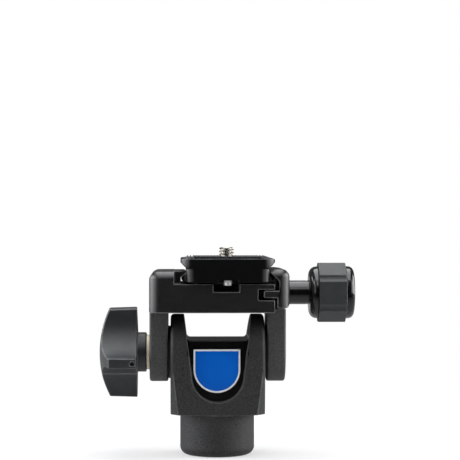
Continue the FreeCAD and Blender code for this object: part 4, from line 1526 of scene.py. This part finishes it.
def softened_pieces() -> list[SoftenedPiece]:
    """Lists the pieces that only need their edges rounded.

    Returns:
        The pieces, from the foot up.
    """
    return [
        BaseCasting("base_yoke", Body.BASE, CAST_BLACK, edge_round=0.35 * MM),
        SoftenedPiece("friction_washer_left", Body.BASE, SLIP_PLASTIC, edge_round=0.15 * MM),
        SoftenedPiece("friction_washer_right", Body.BASE, SLIP_PLASTIC, edge_round=0.15 * MM),
        ClampCasting("tilt_fork", Body.FORK, FORK_BLACK, edge_round=0.35 * MM),
        SoftenedPiece("thrust_washer", Body.THRUST_WASHER, BRASS, edge_round=0.15 * MM),
        SoftenedPiece(
            "tilt_knob", Body.TILT_KNOB, KNOB_PLASTIC, edge_round=0.4 * MM, segments=3, merge=0.1 * MM),
        SoftenedPiece("tilt_knob_grub_screw", Body.TILT_KNOB, BLACK_OXIDE, edge_round=0.1 * MM),
        ClampCasting(
            "moving_jaw", Body.JAW, FORK_BLACK, edge_round=0.4 * MM, segments=3, outside=1,
            corner_round=4.0 * MM),
        SoftenedPiece("clamp_knob_washer", Body.JAW, SLIP_PLASTIC, edge_round=0.1 * MM),
        SoftenedPiece("clamp_knob_grip", Body.CLAMP_KNOB, GRIP_RUBBER, edge_round=0.35 * MM, segments=3),
        # The plate's painted edge highlight is kept to its top edges.
        SoftenedPiece("plate_body", Body.PLATE, ANODISED_BLACK, edge_round=0.3 * MM, highlight_from=80.0 * MM),
        SoftenedPiece("plate_pad", Body.PLATE, PAD_RUBBER, edge_round=0.1 * MM),
        SoftenedPiece("stop_screw_front", Body.PLATE, CHROME, edge_round=0.12 * MM),
        SoftenedPiece("stop_screw_rear", Body.PLATE, CHROME, edge_round=0.12 * MM),
    ]


KEPT_NODES: dict[str, Finish] = {
    "axle_bush_left": SLIP_PLASTIC,
    "axle_bush_right": SLIP_PLASTIC,
    "clamp_screw_insert": BRASS,
    "jaw_spring_front": SPRING_STEEL,
    "jaw_spring_rear": SPRING_STEEL,
    "tilt_knob_nut": BRASS,
    "guide_pin_front": STEEL,
    "guide_pin_rear": STEEL,
    "clamp_screw": STEEL,
    "camera_screw_washer": STEEL,
}


# Studio

def stand(name: str, data: bpy.types.ID, place: Sequence[float], aim: Sequence[float]) -> bpy.types.Object:
    """Stands a lamp or a camera at a place and turns it to a point.

    Args:
        name: The new object's name.
        data: The lamp or camera.
        place: Where it stands.
        aim: The point that it faces.

    Returns:
        The new object.
    """
    holder = bpy.data.objects.new(name, data)
    bpy.context.scene.collection.objects.link(holder)
    holder.location = place
    holder.rotation_mode = "QUATERNION"
    holder.rotation_quaternion = (Vector(aim) - Vector(place)).to_track_quat("-Z", "Y")
    return holder


@dataclass(frozen=True)
class Softbox:
    """Rectangular lamp with a diffuser.

    Attributes:
        name: The lamp's name.
        place: Where it stands.
        aim: The point that it faces.
        width: Width of its face.
        height: Height of its face.
        power: Power in watts.
        colour: Colour of its light.
    """

    name: str
    place: tuple[float, float, float]
    aim: tuple[float, float, float]
    width: float
    height: float
    power: float
    colour: Colour = (1.0, 1.0, 1.0)

    def build(self) -> None:
        """Sets up the lamp."""
        lamp = bpy.data.lights.new(self.name, "AREA")
        lamp.shape = "RECTANGLE"
        lamp.size, lamp.size_y = self.width, self.height
        lamp.energy = self.power
        lamp.color = self.colour
        stand(self.name, lamp, self.place, self.aim)


@dataclass
class Studio:
    """White table and backdrop, softboxes and the camera.

    Attributes:
        camera_place: Where the camera stands.
        camera_aim: The point in the middle of its view.
        lens: Focal length, in millimetres.
        sensor: Width of the camera's sensor, in millimetres.
        clip: The nearest and farthest distance that the camera shows.
        floor_level: Just under the foot.
        floor_half_size: Half the floor's width.
        shadow_reach: Distances between which the floor's shadow fades out.
        mirror_levels: Brightness of the backdrop in reflections, on the camera's side and behind.
        mirror_reach: The directions' Y between which one becomes the other.
        glow: Brightness of the studio's bright walls in reflections, beside the camera.
        glow_reach: The directions' sideways part between which the walls begin.
        glow_depth: The directions' Y between which they end.
        floor_levels: Brightness of the floor in reflections, far in front and near the foot.
        floor_reach: The Y between which one becomes the other.
        table_glow: Brightness of the table by itself.
        table_grey: What it adds of the light that falls on it.
        bounce: How much light it throws back at the head.
    """

    camera_place: tuple[float, float, float] = (-0.015, -0.700, 0.0938)
    camera_aim: tuple[float, float, float] = (0.0054, 0.0, 0.0938)
    lens: float = 130.5
    sensor: float = 36.0
    clip: tuple[float, float] = (0.01, 20.0)
    floor_level: float = -0.05 * MM
    floor_half_size: float = 3.0
    shadow_reach: tuple[float, float] = (0.10, 0.30)
    mirror_levels: tuple[float, float] = (0.0, 0.1)
    mirror_reach: tuple[float, float] = (-0.35, 0.25)
    glow: float = 3.5
    glow_reach: tuple[float, float] = (0.45, 0.8)
    glow_depth: tuple[float, float] = (-0.3, -0.1)
    floor_levels: tuple[float, float] = (0.0, 0.5)
    floor_reach: tuple[float, float] = (-0.22, -0.03)
    table_glow: float = 0.55
    table_grey: float = 0.42
    bounce: float = 0.7

    def build(self) -> None:
        """Sets up the camera, the lamps, the world and the floor."""
        self.build_camera()
        for softbox in self.softboxes():
            softbox.build()
        self.build_world()
        self.build_floor()
        bpy.context.scene.view_settings.view_transform = "Standard"

    def softboxes(self) -> list[Softbox]:
        """Lists the lamps.

        Returns:
            Two side lamps, one overhead and a weak one from the camera's side.
        """
        head = (0.0, 0.0, 0.05)
        cool, cooler = (0.97, 0.985, 1.0), (0.95, 0.975, 1.0)
        return [
            Softbox("side_left", (-0.9, 0.1, 0.20), head, width=0.8, height=0.9, power=11.5, colour=cooler),
            Softbox("side_right", (0.9, 0.1, 0.20), head, width=0.8, height=0.9, power=11.5),
            Softbox("overhead", (0.0, 0.05, 0.93), head, width=0.8, height=1.3, power=11.0, colour=cool),
            Softbox("front_fill", (-0.1, -0.95, 0.95), head, width=0.5, height=0.5, power=1.8),
        ]

    def build_camera(self) -> None:
        """Sets up the camera at the photograph's viewing angle."""
        data = bpy.data.cameras.new("camera")
        data.sensor_width = self.sensor
        data.lens = self.lens
        data.clip_start, data.clip_end = self.clip
        bpy.context.scene.camera = stand("camera", data, self.camera_place, self.camera_aim)

    def build_world(self) -> None:
        """Makes a white backdrop, which reflections show as a dim room with bright side walls."""
        world = bpy.data.worlds.new("studio")
        world.use_nodes = True
        bpy.context.scene.world = world
        graph = Graph(world.node_tree)
        rays = graph.add("LightPath")
        direction = graph.add("SeparateXYZ", {0: graph.add("TexCoord").outputs["Generated"]})
        behind = graph.remap(direction.outputs[1], *self.mirror_reach, *self.mirror_levels)
        sideways = graph.remap(
            graph.math("ABSOLUTE", direction.outputs[0]), *self.glow_reach, 0.0, self.glow)
        in_front = graph.remap(direction.outputs[1], *self.glow_depth, 1.0, 0.0)
        mirrored = graph.math("ADD", behind, graph.math("MULTIPLY", sideways, in_front))
        seen = graph.math("MAXIMUM", rays.outputs["Is Camera Ray"], rays.outputs["Is Transmission Ray"])
        reflected = graph.math("MULTIPLY", rays.outputs["Is Glossy Ray"], mirrored)
        shown = graph.math("MAXIMUM", seen, reflected)
        back = graph.add("Background", {"Color": WHITE, "Strength": shown})
        leave = graph.add("OutputWorld")
        world.node_tree.links.new(back.outputs[0], leave.inputs[0])

    def build_floor(self) -> None:
        """Makes the white floor, which keeps the head's soft shadow near its foot."""
        bpy.ops.object.select_all(action="DESELECT")
        bpy.ops.mesh.primitive_plane_add(size=2 * self.floor_half_size, location=UP * self.floor_level)
        floor = bpy.context.object
        floor.name = floor.data.name = "floor"
        settle(floor)
        graph = MaterialGraph("floor_white")
        rays = graph.add("LightPath")
        seen = graph.math("MAXIMUM", rays.outputs["Is Camera Ray"], rays.outputs["Is Transmission Ray"])
        place = graph.place()
        depth = graph.add("SeparateXYZ", {0: place}).outputs[1]
        mirrored = graph.add("Emission", {
            "Color": WHITE, "Strength": graph.remap(depth, *self.floor_reach, *self.floor_levels)})
        distance = graph.add("VectorMath", {0: place}, operation="LENGTH").outputs["Value"]
        far = graph.remap(distance, *self.shadow_reach, 0.0, 1.0)
        glow = graph.add("Emission", {"Color": WHITE, "Strength": self.table_glow})
        paper = graph.add("BsdfDiffuse", {"Color": (self.table_grey,) * 3})
        near_shade = graph.add("AddShader", {0: glow.outputs[0], 1: paper.outputs[0]})
        white = graph.add("Emission", {"Color": WHITE, "Strength": 1.0})
        shown = graph.add("MixShader", {0: far, 1: near_shade.outputs[0], 2: white.outputs[0]})
        bounce = graph.add("BsdfDiffuse", {"Color": (self.bounce,) * 3})
        hidden = graph.add("MixShader", {
            0: rays.outputs["Is Glossy Ray"], 1: bounce.outputs[0], 2: mirrored.outputs[0]})
        mixed = graph.add("MixShader", {0: seen, 1: hidden.outputs[0], 2: shown.outputs[0]})
        leave = graph.add("OutputMaterial")
        graph.tree.links.new(mixed.outputs[0], leave.inputs[0])
        floor.data.materials.append(graph.material)


def main() -> None:
    """Builds the studio and every assembly in order."""
    logging.basicConfig(level=logging.INFO, format="%(name)s %(message)s")
    Studio().build()
    for piece in softened_pieces():
        piece.build()
    for assembly in (Badge(), ThreadedInsert(), AxleBolt(), KnobStem(), KnobCap(), CameraScrew()):
        assembly.build()
    for node, finish in KEPT_NODES.items():
        dress_node(node, finish)


if __name__ == "__main__":
    main()
